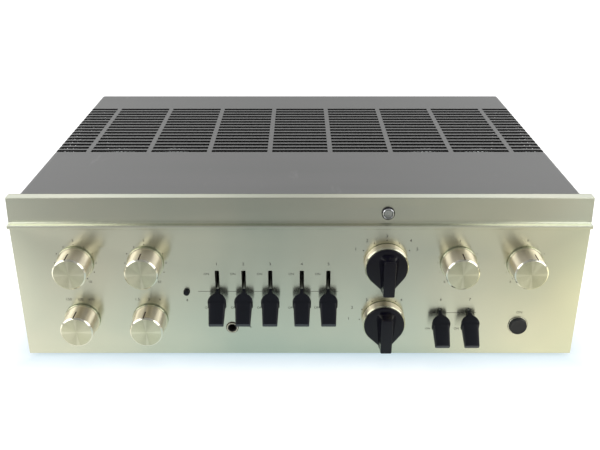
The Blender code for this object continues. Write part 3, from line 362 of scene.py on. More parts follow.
TUBES = ["output_tube_1", "output_tube_2", "output_tube_3", "output_tube_4",
         "driver_tube_left", "driver_tube_right"]
for name in TUBES:
    low, high, middle = span(name)
    radius = (high.x - low.x) / 2
    large = name.startswith("output")
    base_radius, base_height = LARGE_BASE if large else SMALL_BASE
    base_top = low.z + base_height
    centre = (middle.x, middle.y, 0)
    shape = bmesh.new()
    outline = [(0, low.z), (base_radius + BASE_RIM, low.z), (base_radius + BASE_RIM, low.z + 0.003),
               (base_radius, low.z + 0.0035), (base_radius, base_top), (base_radius - 0.001, base_top),
               (base_radius - 0.001, base_top - 0.001), (0, base_top - 0.001)]
    lathe(shape, rounded(outline, 0.0004, 2), centre, "Z", 48)
    settle(name + "_base", shape, base_black, "housing")
    neck = base_radius - 0.0012
    shoulder = base_top + radius * 0.55
    dome = high.z - radius * DOME_SHARE
    profile = [(neck, base_top - 0.0008), (neck, base_top + 0.001), (radius, shoulder), (radius, dome)]
    profile += [(radius * math.cos(a), dome + radius * DOME_SHARE * math.sin(a))
                for a in [math.radians(step) for step in range(12, 91, 13)]]
    profile = rounded(profile[:-1] + [(0, high.z)], [0, 0.002] + [0.004] * (len(profile) - 2), 3)
    inner = [(max(r - GLASS_WALL, 0), z - GLASS_WALL * (z > dome)) for r, z in reversed(profile)]
    shape = bmesh.new()
    lathe(shape, profile + inner + [profile[0]], centre, "Z", 48)
    welded(shape)
    settle(name + "_bulb", shape, tube_glass, "housing", [name])
    shape = bmesh.new()
    wide, deep = radius * 0.58, radius * 0.36
    foot, crown = shoulder, dome - radius * 0.1
    block(shape, (middle.x - wide, middle.y - deep, foot), (middle.x + wide, middle.y + deep, crown),
          radius * 0.12, 2)
    for side in (-0.62, 0, 0.62):
        rib = middle.x + wide * side
        block(shape, (rib - 0.0006, middle.y - deep - 0.0009, foot + 0.001),
              (rib + 0.0006, middle.y + deep + 0.0009, crown - 0.001), 0.0003, 1)
    for side in (-1, 1):
        lathe(shape, [(0, base_top - 0.001), (0.0006, base_top - 0.001), (0.0006, crown + 0.003),
                      (0, crown + 0.003)], (middle.x + side * wide * 0.7, middle.y, 0), "Z", 8)
    for level in (foot - 0.0012, crown + 0.0006):
        lathe(shape, [(0, level), (radius * 0.72, level), (radius * 0.72, level + 0.0006),
                      (0, level + 0.0006)], centre, "Z", 24)
    settle(name + "_plates", shape, plate_grey, "housing")
    shape = bmesh.new()
    cap = [(0.96 * r - GLASS_WALL, z - GLASS_WALL - 0.0002) for r, z in profile if z > dome + radius * 0.2]
    cap = [(max(r, 0), z) for r, z in cap]
    lathe(shape, cap + [(max(r - 0.0002, 0), z - 0.0002) for r, z in reversed(cap)] + [cap[0]],
          centre, "Z", 32)
    welded(shape)
    settle(name + "_getter", shape, getter, "housing")


# Filter capacitor and main board.
# The capacitor is a drawn aluminium can with a rolled bead and a vented top, clamped to the deck.
# The board is brown paper laminate on pressed-in spacers.
drawn_can = worked("capacitor_aluminium", (0.58, 0.58, 0.59), (1.0, 2.0),
                   ((0.48, 0.48, 0.49), (0.64, 0.64, 0.65)), (0.25, 0.42), cover=(0.3, 0.7, 0.0, 1.0),
                   grain=(600.0, 600.0, 14.0), raised=(0.00002, 0.5), Metallic=1.0)

low, high, middle = span("filter_capacitor")
radius = (high.x - low.x) / 2
outline = [(0, low.z), (radius, low.z), (radius, low.z + 0.006), (radius - 0.0012, low.z + 0.008),
           (radius, low.z + 0.01), (radius, high.z), (radius - 0.002, high.z),
           (radius - 0.002, high.z - 0.0015), (0.004, high.z - 0.0015), (0.003, high.z - 0.0022),
           (0, high.z - 0.0022)]
shape = bmesh.new()
lathe(shape, rounded(outline, 0.0007, 3), (middle.x, middle.y, 0), "Z", 64)
settle("filter_capacitor_can", shape, drawn_can, "housing", ["filter_capacitor"])

board_laminate = worked("board_laminate", (0.26, 0.14, 0.05), (1.0, 3.0),
                        ((0.2, 0.1, 0.035), (0.34, 0.19, 0.075)), (0.42, 0.6), grain=(90.0, 700.0, 700.0))
dress(board_laminate, "main_board", "input_selector_switch", "mode_selector_switch")


# The controls' bodies behind the sub panel.
# Potentiometers, rotary switches and lever switches in plated steel and black mouldings, each
# held through the sub panel by its own bushing or frame.
switch_black = worked("switch_black", (0.024, 0.022, 0.021), (240.0, 4.0, 0.6),
                      ((0.016, 0.015, 0.014), (0.038, 0.034, 0.03)), (0.4, 0.6))
dress(plated_steel, "bass_potentiometer", "treble_potentiometer", "balance_potentiometer",
      "volume_potentiometer", "lever_switch_bank", "short_lever_switch_bank")
dress(switch_black, "bass_frequency_switch", "treble_frequency_switch", "tone_defeat_switch",
      "power_switch", "headphone_jack")


# Front panel.
# An extruded aluminium section: a thick plate with a lip at the top, a proud ridge, and a band
# above it that leans back. It is brushed from side to side and anodised a pale champagne.
PANEL_HALF = 0.226
PANEL_HEIGHT = 0.14025
PANEL_PLATE = 0.005
LIP_DEPTH = 0.01
LIP_HEIGHT = 0.004
RIDGE_BOTTOM = 0.11625
RIDGE_TOP = 0.11955
BAND_LEAN = 0.0017
SLOT_WIDTH = 0.0034
SLOT_REACH = 0.01875
SHORT_SLOT_RISE = 0.0042
SLOT_CORNER = 0.0006
SHAFT_HOLE = 0.005
DEFEAT_HOLE = 0.0027
POWER_HOLE = 0.0082
JACK_HOLE = 0.0043
LAMP_HOLE = 0.0045
OVER = 0.001
UPPER_ROW = 0.085
LOWER_ROW = 0.0333
KNOBS = {
    "bass_knob": (-0.1779, UPPER_ROW, -8), "treble_knob": (-0.1224, UPPER_ROW, -4),
    "bass_frequency_knob": (-0.1779, LOWER_ROW, -6), "treble_frequency_knob": (-0.1224, LOWER_ROW, -6),
    "balance_knob": (0.1256, UPPER_ROW, 2), "volume_knob": (0.1784, UPPER_ROW, 16),
}
SELECTORS = {"input_selector": (0.0681, UPPER_ROW), "mode_selector": (0.0681, LOWER_ROW)}
LEVERS = {
    "low_boost_lever": (-0.0662, 0.0594), "low_cut_lever": (-0.045, 0.0594),
    "high_cut_lever": (-0.0237, 0.0594), "dubbing_lever": (0.0015, 0.0594),
    "monitor_lever": (0.0227, 0.0594), "recording_lever": (0.1141, 0.0394),
    "attenuate_lever": (0.1376, 0.0394),
}
DEFEAT = (-0.0912, 0.0591)
POWER = (0.179, 0.0275)
HEADPHONE = (-0.0556, 0.0257)
LAMP = (0.0681, 0.1278)


def carved(shape, tool, finishes, operation="DIFFERENCE"):
    """A shape with another cut out of it or joined to it; every face keeps its finish."""
    blanks = []
    for part in (shape, tool):
        data = bpy.data.meshes.new("blank")
        part.to_mesh(data)
        part.free()
        for material in finishes:
            data.materials.append(material)
        blank = bpy.data.objects.new("blank", data)
        bpy.context.collection.objects.link(blank)
        blanks.append(blank)
    cut = blanks[0].modifiers.new("cut", "BOOLEAN")
    cut.operation = operation
    cut.solver = "EXACT"
    cut.object = blanks[1]
    depsgraph = bpy.context.evaluated_depsgraph_get()
    data = bpy.data.meshes.new_from_object(blanks[0].evaluated_get(depsgraph))
    result = bmesh.new()
    result.from_mesh(data)
    for spent in [blank.data for blank in blanks] + [data]:
        bpy.data.meshes.remove(spent)
    return result


def extruded(shape, outline, start, end, axis="X"):
    """A closed outline of (back, up) points drawn out from start to end."""
    ends = []
    for along in (start, end):
        spots = [{"X": (along, a, b), "Y": (a, along, b)}[axis] for a, b in outline]
        ends.append([shape.verts.new(spot) for spot in spots])
    faces = [shape.faces.new(ends[0]), shape.faces.new(ends[1])]
    count = len(outline)
    for index in range(count):
        after = (index + 1) % count
        faces.append(shape.faces.new((ends[0][index], ends[0][after], ends[1][after], ends[1][index])))
    bmesh.ops.recalc_face_normals(shape, faces=faces)
    return faces


def brushed_across(shape):
    """The grain map of a piece brushed from side to side: the way up its surface, then across."""
    grain = shape.loops.layers.uv.get("grain") or shape.loops.layers.uv.new("grain")
    for face in shape.faces:
        upright = abs(face.normal.x) > 0.7
        for loop in face.loops:
            spot = loop.vert.co
            way = (spot.z, spot.y) if upright else (spot.z + spot.y, spot.x)
            loop[grain].uv = [part * 100 for part in way]


def brushed_metal(name, light, dark, roughness, anisotropy, fineness):
    """Anodised aluminium whose highlights are drawn out across its brushing, by the grain map."""
    material, tree, shader, places = finish(name, light, Metallic=1.0, Anisotropic=anisotropy)
    tangent = node(tree, "ShaderNodeTangent", direction_type="UV_MAP", uv_map="grain").outputs["Tangent"]
    feed(tangent, shader, "Tangent")
    grain = node(tree, "ShaderNodeUVMap", uv_map="grain").outputs["UV"]
    lines = clouds(stretched(grain, fineness, 0.12, 1.0), 1.0, 3.0, 0.6)
    broad = clouds(places, 9.0, 3.0, 0.55)
    toned = mixed(ranged(broad, 0.35, 0.65, 0.0, 1.0), dark, light)
    fine = mixed(ranged(lines, 0.35, 0.65, 0.0, 0.06), toned, tuple(0.72 * c for c in dark))
    feed(fine, shader, "Base Color")
    feed(ranged(lines, 0.3, 0.7, roughness * 0.96, roughness * 1.04), shader, "Roughness")
    relief(shader, lines, 0.000001, 0.3)
    return material


champagne_panel = brushed_metal("champagne_panel", (0.69, 0.695, 0.565), (0.6, 0.64, 0.53), 0.23, 0.88, 90.0)

section = [(0, 0), (0, RIDGE_BOTTOM), (-RIDGE_PROUD, RIDGE_BOTTOM), (-RIDGE_PROUD, RIDGE_TOP),
           (0, RIDGE_TOP), (BAND_LEAN, PANEL_HEIGHT), (LIP_DEPTH, PANEL_HEIGHT),
           (LIP_DEPTH, PANEL_HEIGHT - LIP_HEIGHT), (PANEL_PLATE, PANEL_HEIGHT - LIP_HEIGHT), (PANEL_PLATE, 0)]
softening = [0.0011, 0.0003, 0.0009, 0.0007, 0.0006, 0.0005, 0.0004, 0.0003, 0.0006, 0.0004]
shape = bmesh.new()
extruded(shape, rounded(section, softening, 4, closed=True), -PANEL_HALF, PANEL_HALF)
ends = [edge for edge in shape.edges if all(abs(abs(vert.co.x) - PANEL_HALF) < 1e-6 for vert in edge.verts)]
bmesh.ops.bevel(shape, geom=ends, offset=0.0003, segments=2, profile=0.5, affect="EDGES")
holes = bmesh.new()
through = PANEL_PLATE + OVER
round_holes = [(place[:2], SHAFT_HOLE, 32) for place in [*KNOBS.values(), *SELECTORS.values()]]
round_holes += [(DEFEAT, DEFEAT_HOLE, 48), (POWER, POWER_HOLE, 48), (HEADPHONE, JACK_HOLE, 48),
                (LAMP, LAMP_HOLE, 48)]
for (x, z), radius, sides in round_holes:
    lathe(holes, [(0, -OVER), (radius, -OVER), (radius, through), (0, through)], (x, 0, z), "Y", sides)
for x, z in LEVERS.values():
    low = z - SLOT_REACH
    high = z + (SLOT_REACH if z > 0.05 else SHORT_SLOT_RISE)
    left, right = x - SLOT_WIDTH / 2, x + SLOT_WIDTH / 2
    slot = rounded([(left, low), (left, high), (right, high), (right, low)], SLOT_CORNER, 3, closed=True)
    extruded(holes, slot, -OVER, through, "Y")
shape = carved(shape, holes, [champagne_panel])
brushed_across(shape)
settle("panel_plate", shape, champagne_panel, "housing", ["front_panel"], 28)


# The panel's printing.
# Screened in dark brown ink: numbers, short rules between the levers, and dots round the dials.
INK = 0.00002
DOT_REACH = 0.0163
NUMBER_REACH = 0.0196
LEVER_NUMBER_UP = 0.084
ON_ASIDE = 0.0085
ON_UP = 0.0751
OFF_ASIDE = 0.0088
OFF_UP = 0.0442
SHORT_NUMBER_UP = 0.0518
SHORT_ON_UP = 0.0244
SMALL_PRINT = 0.002

print_ink = worked("print_ink", (0.03, 0.026, 0.022), (2600.0, 3.0, 0.6),
                   ((0.026, 0.022, 0.019), (0.16, 0.15, 0.12)), (0.42, 0.62), cover=(0.45, 0.8, 0.0, 0.5))


def numeral(shape, words, x, z, height=0.0026):
    """A printed number, centred on its place."""
    curve = bpy.data.curves.new("numeral", "FONT")
    curve.body = words
    curve.align_x = "CENTER"
    curve.align_y = "CENTER"
    curve.size = height * 1.38
    curve.resolution_u = 4
    text = bpy.data.objects.new("numeral", curve)
    bpy.context.collection.objects.link(text)
    depsgraph = bpy.context.evaluated_depsgraph_get()
    flat = bpy.data.meshes.new_from_object(text.evaluated_get(depsgraph))
    flat.transform(Matrix.Translation((x, -INK, z)) @ Matrix.Rotation(math.pi / 2, 4, "X"))
    shape.from_mesh(flat)
    bpy.data.objects.remove(text)
    bpy.data.meshes.remove(flat)
    bpy.data.curves.remove(curve)


def rule(shape, x0, z0, x1, z1, width=0.00035):
    """A printed line between two places."""
    way = Vector((x1 - x0, 0, z1 - z0)).normalized()
    side = Vector((way.z, 0, -way.x)) * width / 2
    one, two = Vector((x0, -INK, z0)), Vector((x1, -INK, z1))
    spots = (one - side, one + side, two + side, two - side)
    face = shape.faces.new([shape.verts.new(spot) for spot in spots])
    if face.normal.y > 0:
        face.normal_flip()


def dot(shape, x, z, radius=0.00048):
    """A printed dot."""
    turns = [2 * math.pi * step / 12 for step in range(12)]
    shape.faces.new([shape.verts.new((x + radius * math.cos(a), -INK, z + radius * math.sin(a)))
                     for a in turns])


def dial(ink, name, dots, height):
    """Eleven dots round a knob, thirty degrees apart, and a number beyond the ends and the middle."""
    x, z, turn = KNOBS[name]
    for step in range(11):
        angle = math.radians(30 * step - 150)
        across, up = math.sin(angle), math.cos(angle)
        dot(ink, x + DOT_REACH * across, z + DOT_REACH * up, dots)
        if step % 5 == 0:
            numeral(ink, str(step), x + NUMBER_REACH * across, z + NUMBER_REACH * up, height)


ink = bmesh.new()
for name in ("bass_knob", "treble_knob"):
    dial(ink, name, 0.00048, 0.0022)
for name, marks in (("bass_frequency_knob", "150 300 600"), ("treble_frequency_knob", "1.5 3 6")):
    x, z, turn = KNOBS[name]
    for step, number in zip((-1, 0, 1), marks.split()):
        numeral(ink, number, x + 0.0092 * step, z + 0.0186, 0.0024)
for name in ("balance_knob", "volume_knob"):
    dial(ink, name, 0.0003, 0.0019)
for number, (x, z) in enumerate(((0.0439, 0.0972), (0.0526, 0.1045), (0.0681, 0.1084), (0.0868, 0.1045),
                                 (0.0923, 0.0972)), 1):
    numeral(ink, str(number), x, z)
for x, z in ((0.0585, 0.1025), (0.0681, 0.105), (0.0779, 0.1025), (0.05, 0.096), (0.0862, 0.096)):
    dot(ink, x, z)
for number, (x, z) in enumerate(((0.0398, 0.034), (0.0424, 0.0443), (0.054, 0.0514), (0.0822, 0.0514)), 1):
    numeral(ink, str(number), x, z)
for x, z in ((0.0486, 0.0333), (0.0505, 0.0425), (0.0585, 0.05), (0.0777, 0.05)):
    dot(ink, x, z)
for number, (name, (x, z)) in enumerate(LEVERS.items(), 1):
    if z > 0.05:
        numeral(ink, str(number), x, LEVER_NUMBER_UP)
        numeral(ink, "ON", x - ON_ASIDE, ON_UP, SMALL_PRINT)
        numeral(ink, "OFF", x - OFF_ASIDE, OFF_UP, SMALL_PRINT)
    else:
        numeral(ink, str(number), x, SHORT_NUMBER_UP)
        numeral(ink, "ON", x - OFF_ASIDE, SHORT_ON_UP, SMALL_PRINT)
for left, right in ((-0.082, -0.07), (-0.0628, -0.0485), (-0.0415, -0.0272), (-0.02, -0.016),
                    (0.0055, 0.0192), (0.0262, 0.031)):
    rule(ink, left, LEVERS["low_cut_lever"][1], right, LEVERS["low_cut_lever"][1])
for left, right in ((0.1046, 0.1106), (0.1177, 0.134), (0.1412, 0.1437)):
    rule(ink, left, 0.0396, right, 0.0396)
numeral(ink, "8", DEFEAT[0], 0.0512, 0.0022)
numeral(ink, "ON", POWER[0], 0.0398, 0.0023)
numeral(ink, "9", HEADPHONE[0] + 0.015, 0.0257, 0.0022)
settle("panel_print", ink, print_ink, "housing")


# Top cover.
# One sheet of steel, folded down at both sides, punched with rows of long openings that run over
# the folds, sprayed satin grey and screwed on. The cut walls of its openings are near-black: painted
# shade. A thin black lining with small holes lies under it.
COVER_SHEET = 0.0008
COVER_HALF = 0.2191
COVER_TOP = 0.13965
COVER_FOOT = 0.0108
COVER_FRONT = 0.0103
COVER_BACK = 0.2979
COVER_FOLD = 0.003
FRONT_STRIP = 0.0996
REAR_STRIP = 0.0496
ROWS = 16
OPENING_DEPTH = 0.0058
OPENING_STEPS = 42.0
ROW_PITCH = (COVER_BACK - REAR_STRIP - OPENING_DEPTH - COVER_FRONT - FRONT_STRIP) / (ROWS - 1)
BAYS = 9
BAY_PITCH = 0.05391
BAR_WIDTH = 0.0042
LINING_GAP = 0.0002
LINING_SHEET = 0.0004
LINING_HOLES_IN_BAY = 14
LINING_WEB = 0.0011
LINING_MARGIN = 0.004
LINING_DROP = 0.03


def new_tree(name, inputs):
    """A geometry tree with named inputs; returns it, its input node's outputs and its end."""
    tree = bpy.data.node_groups.new(name, "GeometryNodeTree")
    tree.interface.new_socket(name="Geometry", in_out="INPUT", socket_type="NodeSocketGeometry")
    tree.interface.new_socket(name="Geometry", in_out="OUTPUT", socket_type="NodeSocketGeometry")
    for label, (kind, value) in inputs.items():
        socket = tree.interface.new_socket(name=label, in_out="INPUT", socket_type="NodeSocket" + kind)
        if value is not None:
            socket.default_value = value
    start = tree.nodes.new("NodeGroupInput")
    return tree, start.outputs, tree.nodes.new("NodeGroupOutput").inputs


def made_real(geometry, material, result):
    """Ends a geometry tree: makes its copies real and gives them their material."""
    tree = geometry.id_data
    real = node(tree, "GeometryNodeRealizeInstances", {0: geometry}).outputs[0]
    painted = node(tree, "GeometryNodeSetMaterial", {"Geometry": real, "Material": material}).outputs[0]
    tree.links.new(painted, result[0])


def sum_of(operation, *values):
    """One step of arithmetic on numbers or sockets."""
    tree = next(value.id_data for value in values if isinstance(value, bpy.types.NodeSocket))
    return node(tree, "ShaderNodeMath", dict(enumerate(values)), operation=operation).outputs[0]


plus, minus, times, divided, rest_of, below, above, greatest, floored = [
    partial(sum_of, operation) for operation in ("ADD", "SUBTRACT", "MULTIPLY", "DIVIDE", "FLOORED_MODULO",
                                                 "LESS_THAN", "GREATER_THAN", "MAXIMUM", "FLOOR")]


def grown(name, start, tree, inputs, wall=0.0):
    """Runs a geometry tree on a starting mesh, with its inputs set, gives the result a wall inwards where
    one is asked for, and returns the plain shape."""
    holder = bpy.data.objects.new(name, start)
    bpy.context.collection.objects.link(holder)
    modifier = holder.modifiers.new(name, "NODES")
    modifier.node_group = tree
    for item in tree.interface.items_tree:
        if item.item_type == "SOCKET" and item.in_out == "INPUT" and item.name in inputs:
            modifier[item.identifier] = inputs[item.name]
    if wall:
        thickness = holder.modifiers.new("thickness", "SOLIDIFY")
        thickness.thickness = wall
        thickness.offset = -1
    holder.update_tag()
    depsgraph = bpy.context.evaluated_depsgraph_get()
    result = bpy.data.meshes.new_from_object(holder.evaluated_get(depsgraph))
    shape = bmesh.new()
    shape.from_mesh(result)
    bpy.data.objects.remove(holder)
    bpy.data.meshes.remove(result)
    return shape


grey_paint, tree, shader, places = finish("grey_paint", (0.14, 0.141, 0.139), Coat_Weight=0.12,
                                          Coat_Roughness=0.3)
drift = clouds(stretched(places, 3.0, 26.0, 26.0), 1.0, 4.0, 0.55)
grain = clouds(places, 1400.0, 3.0, 0.6)
scuff = clouds(stretched(places, 60.0, 14.0, 14.0), 1.0, 5.0, 0.7)
tone = mixed(ranged(drift, 0.3, 0.7, 0.0, 1.0), (0.12, 0.122, 0.119), (0.16, 0.16, 0.158))
tone = mixed(ranged(scuff, 0.62, 0.8, 0.0, 0.3), tone, (0.34, 0.34, 0.335))
feed(mixed(ranged(grain, 0.35, 0.65, 0.0, 0.14), tone, (0.085, 0.085, 0.085)), shader, "Base Color")
feed(ranged(drift, 0.3, 0.7, 0.4, 0.52), shader, "Roughness")
relief(shader, grain, 0.00003, 0.35)

# Near-black for the cut walls of the openings: painted shade, standing in for the shadow inside them.
painted_shade_edge = worked("painted_shade_edge", (0.03, 0.03, 0.031), (900.0, 4.0, 0.6),
                      ((0.02, 0.02, 0.021), (0.07, 0.07, 0.07)), (0.5, 0.7), cover=(0.4, 0.8, 0.0, 1.0),
                      Specular_IOR_Level=0.2)

tree, given, result = new_tree("punched_sheet", {
    "Fold radius": ("Float", COVER_FOLD), "Bay pitch": ("Float", BAY_PITCH), "Web": ("Float", 0.0),
    "Bar width": ("Float", BAR_WIDTH), "Openings in a bay": ("Float", 1.0),
    "Steps in an opening": ("Float", OPENING_STEPS),
    "Front edge": ("Float", COVER_FRONT), "Back edge": ("Float", COVER_BACK),
    "First row": ("Float", COVER_FRONT + FRONT_STRIP), "Row pitch": ("Float", ROW_PITCH),
    "Opening depth": ("Float", OPENING_DEPTH), "Rows": ("Float", float(ROWS)), "Bays": ("Float", float(BAYS)),
    "Paint": ("Material", None),
})
steps = given["Steps in an opening"]
cells = plus(steps, 1.0)
per_bay = times(given["Openings in a bay"], cells)
columns = plus(times(given["Bays"], per_bay), 2.0)
lines = plus(times(given["Rows"], 2.0), 2.0)
last_column = minus(columns, 1.0)
last_line = minus(lines, 1.0)
sheet = node(tree, "GeometryNodeMeshGrid", {"Size X": last_column, "Size Y": last_line,
                                            "Vertices X": columns, "Vertices Y": lines}).outputs["Mesh"]
spot = parts_of(tree.nodes.new("GeometryNodeInputPosition").outputs[0])
across = plus(spot[0], divided(last_column, 2.0))
along = plus(spot[1], divided(last_line, 2.0))
cell_across = rest_of(floored(minus(across, 1.0)), cells)
cell_along = rest_of(floored(minus(along, 1.0)), 2.0)
opened = times(below(cell_across, minus(steps, 0.5)), below(cell_along, 0.5))
inside = times(times(above(across, 1.0), below(across, minus(last_column, 1.0))),
               times(above(along, 1.0), below(along, minus(last_line, 1.0))))
punched = node(tree, "GeometryNodeDeleteGeometry", {"Geometry": sheet, "Selection": times(opened, inside)},
               domain="FACE", mode="ALL").outputs[0]
outline = node(tree, "GeometryNodeMeshToCurve", {"Mesh": given["Geometry"]}).outputs[0]
folded = node(tree, "GeometryNodeFilletCurve", {"Curve": outline, "Count": 6, "Radius": given["Fold radius"]},
              mode="POLY").outputs[0]
length = node(tree, "GeometryNodeCurveLength", {"Curve": folded}).outputs[0]
number = sum_of("ROUND", across)
count = minus(number, 1.0)
bay = floored(divided(count, per_bay))
in_bay = rest_of(count, per_bay)
opening = floored(divided(in_bay, cells))
corner = rest_of(in_bay, cells)
run = plus(minus(given["Bay pitch"], given["Bar width"]), given["Web"])
pitch = divided(run, given["Openings in a bay"])
step = divided(minus(pitch, given["Web"]), steps)
start = times(minus(bay, divided(given["Bays"], 2.0)), given["Bay pitch"])
start = plus(start, divided(given["Bar width"], 2.0))
way = plus(plus(start, times(opening, pitch)), times(corner, step))
way = times(plus(way, divided(length, 2.0)), above(number, 0.5))
way = greatest(way, times(above(number, minus(last_column, 0.5)), length))
sample = node(tree, "GeometryNodeSampleCurve", {"Curves": folded, "Length": way}, mode="LENGTH")
fold = parts_of(sample.outputs["Position"])
line = sum_of("ROUND", along)
row = floored(divided(minus(line, 1.0), 2.0))
side = rest_of(minus(line, 1.0), 2.0)
back = plus(plus(given["First row"], times(row, given["Row pitch"])), times(side, given["Opening depth"]))
before, after = below(line, 0.5), above(line, minus(last_line, 0.5))
edges = plus(times(given["Front edge"], before), times(given["Back edge"], after))
back = plus(times(back, minus(1.0, plus(before, after))), edges)
placed = node(tree, "ShaderNodeCombineXYZ", {0: fold[0], 1: back, 2: fold[2]}).outputs[0]
bent = node(tree, "GeometryNodeSetPosition", {"Geometry": punched, "Position": placed}).outputs[0]
made_real(bent, given["Paint"], result)


def fold_line(half, top, foot):
    """The sheet seen from the front, before its corners are bent round."""
    line = bpy.data.meshes.new("fold_line")
    line.from_pydata([(-half, 0, foot), (-half, 0, top), (half, 0, top), (half, 0, foot)],
                     [(0, 1), (1, 2), (2, 3)], [])
    return line


shape = grown("punched_sheet", fold_line(COVER_HALF, COVER_TOP, COVER_FOOT), tree,
              {"Paint": grey_paint}, COVER_SHEET)
# Faces no wider than the sheet is thick are the cut walls, and they take the painted shade.
for face in shape.faces:
    face.material_index = int(min(edge.calc_length() for edge in face.edges) < COVER_SHEET * 1.05)
settle("cover_sheet", shape, [grey_paint, painted_shade_edge], "housing", ["top_cover"])

lining_black = worked("lining_black", (0.012, 0.012, 0.012), (420.0, 4.0, 0.6),
                      ((0.008, 0.008, 0.008), (0.03, 0.029, 0.027)), (0.5, 0.7), cover=(0.5, 0.8, 0.0, 1.0),
                      Specular_IOR_Level=0.2)
inset = COVER_SHEET + LINING_GAP
lining = {
    "Fold radius": COVER_FOLD - inset, "Openings in a bay": float(LINING_HOLES_IN_BAY),
    "Steps in an opening": 3.0, "Web": LINING_WEB,
    "Front edge": COVER_FRONT + FRONT_STRIP - LINING_MARGIN,
    "Back edge": COVER_BACK - REAR_STRIP + LINING_MARGIN, "Paint": lining_black,
}
line = fold_line(COVER_HALF - inset, COVER_TOP - inset, COVER_TOP - LINING_DROP)
shape = grown("lining", line, tree, lining, LINING_SHEET)
settle("cover_lining", shape, lining_black, "housing")


# Six round knobs.
# Turned from aluminium bar and anodised like the panel: a thin skirt, plain sides, a polished
# chamfer and a finely turned face. The sides are a lighter, warmer copy of the anodising, a painted
# sheen, and the face carries four painted highlight rays and two darker painted quarters. A groove
# with dark brown faces marks where each one points.
KNOB_BACK = -0.0006
KNOB_FRONT = -0.0206
KNOB_RADIUS = 0.0131
KNOB_CHAMFER = 0.0011
SKIRT_RADIUS = 0.0145
SKIRT_FRONT = -0.0021
SHAFT_RADIUS = 0.003
SHAFT_BACK = 0.0221
MARK_LENGTH = 0.0105
MARK_WIDTH = 0.0011
MARK_DEPTH = 0.0005
# Where the face's painted highlight rays and painted shade quarters start round the turn.
HIGHLIGHT_RAY_TURN = 0.004
SHADE_QUARTER_TURN = 0.06

champagne_turned = brushed_metal("champagne_turned", (0.68, 0.68, 0.5), (0.64, 0.645, 0.48), 0.24, 1.0, 60.0)
# The sides of the knobs and selector rings are a lighter, warmer copy of the anodising: a painted sheen for
# the golden light they catch.
champagne_side_sheen = brushed_metal("champagne_side_sheen", (0.84, 0.77, 0.61), (0.78, 0.71, 0.55), 0.44, 0.95, 60.0)
champagne_polished = brushed_metal("champagne_polished", (0.8, 0.79, 0.66), (0.76, 0.75, 0.62), 0.17, 0.3,
                                   40.0)
champagne_face = brushed_metal("champagne_face", (0.69, 0.69, 0.51), (0.65, 0.655, 0.49), 0.28, 1.0, 60.0)
# The face's painted sheen: four light rays and two darker quarters round the turn, a painted highlight and
# painted shade that turn with the knob.
shader = champagne_face.node_tree.nodes["Principled BSDF"]
grain = node(shader.id_data, "ShaderNodeUVMap", uv_map="grain").outputs["UV"]
turn = parts_of(grain)[1]
painted_highlight_ray = sum_of("COSINE", times(minus(turn, HIGHLIGHT_RAY_TURN), 8 * math.pi))
painted_shade_quarter = sum_of("SINE", times(plus(turn, SHADE_QUARTER_TURN), 4 * math.pi))
plain = shader.inputs["Base Color"].links[0].from_socket
toned = mixed(ranged(painted_shade_quarter, -0.9, 0.9, 0.0, 1.0), (0.6, 0.61, 0.44), plain)
feed(mixed(ranged(painted_highlight_ray, 0.8, 1.0, 0.0, 0.55), toned, (0.84, 0.84, 0.66)), shader, "Base Color")
# The groove's faces are dark brown.
mark_brown = worked("mark_brown", (0.05, 0.03, 0.015), (700.0, 3.0),
                    ((0.034, 0.019, 0.009), (0.08, 0.05, 0.028)), (0.35, 0.6))

for name, (x, z, turn) in KNOBS.items():
    outline = [(0, SHAFT_BACK), (SHAFT_RADIUS, SHAFT_BACK), (SHAFT_RADIUS, KNOB_BACK),
               (SKIRT_RADIUS, KNOB_BACK), (SKIRT_RADIUS, SKIRT_FRONT), (KNOB_RADIUS, SKIRT_FRONT),
               (KNOB_RADIUS, KNOB_FRONT + KNOB_CHAMFER), (KNOB_RADIUS - KNOB_CHAMFER, KNOB_FRONT),
               (0, KNOB_FRONT)]
    bends = rounded(outline, [0, 0.0003, 0, 0.0003, 0.0005, 0.0003, 0.00015, 0.00015, 0], 3)
    bands = []
    for one, two in zip(bends, bends[1:]):
        radius, depth = (one[0] + two[0]) / 2, (one[1] + two[1]) / 2
        on_chamfer = KNOB_FRONT + 0.00005 < depth < KNOB_FRONT + KNOB_CHAMFER and radius > KNOB_RADIUS * 0.9
        on_side = radius > KNOB_RADIUS * 0.98 and depth < SKIRT_FRONT
        bands.append(2 if on_chamfer else 1 if on_side else 4 if depth < KNOB_FRONT + 0.0001 else 0)
    shape = bmesh.new()
    lathe(shape, bends, (x, 0, z), "Y", 120, bands)
    groove = bmesh.new()
    angle = math.radians(turn)
    block(groove, (-MARK_WIDTH / 2, KNOB_FRONT - 0.001, KNOB_RADIUS - MARK_DEPTH),
          (MARK_WIDTH / 2, KNOB_FRONT + MARK_LENGTH, KNOB_RADIUS + 0.002), 0, 1, 3)
    bmesh.ops.rotate(groove, verts=groove.verts, cent=(0, 0, 0), matrix=Matrix.Rotation(angle, 3, "Y"))
    bmesh.ops.translate(groove, verts=groove.verts, vec=(x, 0, z))
    knob_finishes = [champagne_turned, champagne_side_sheen, champagne_polished, mark_brown, champagne_face]
    shape = carved(shape, groove, knob_finishes)
    settle(name + "_turned", shape, knob_finishes, name, [name], 32)


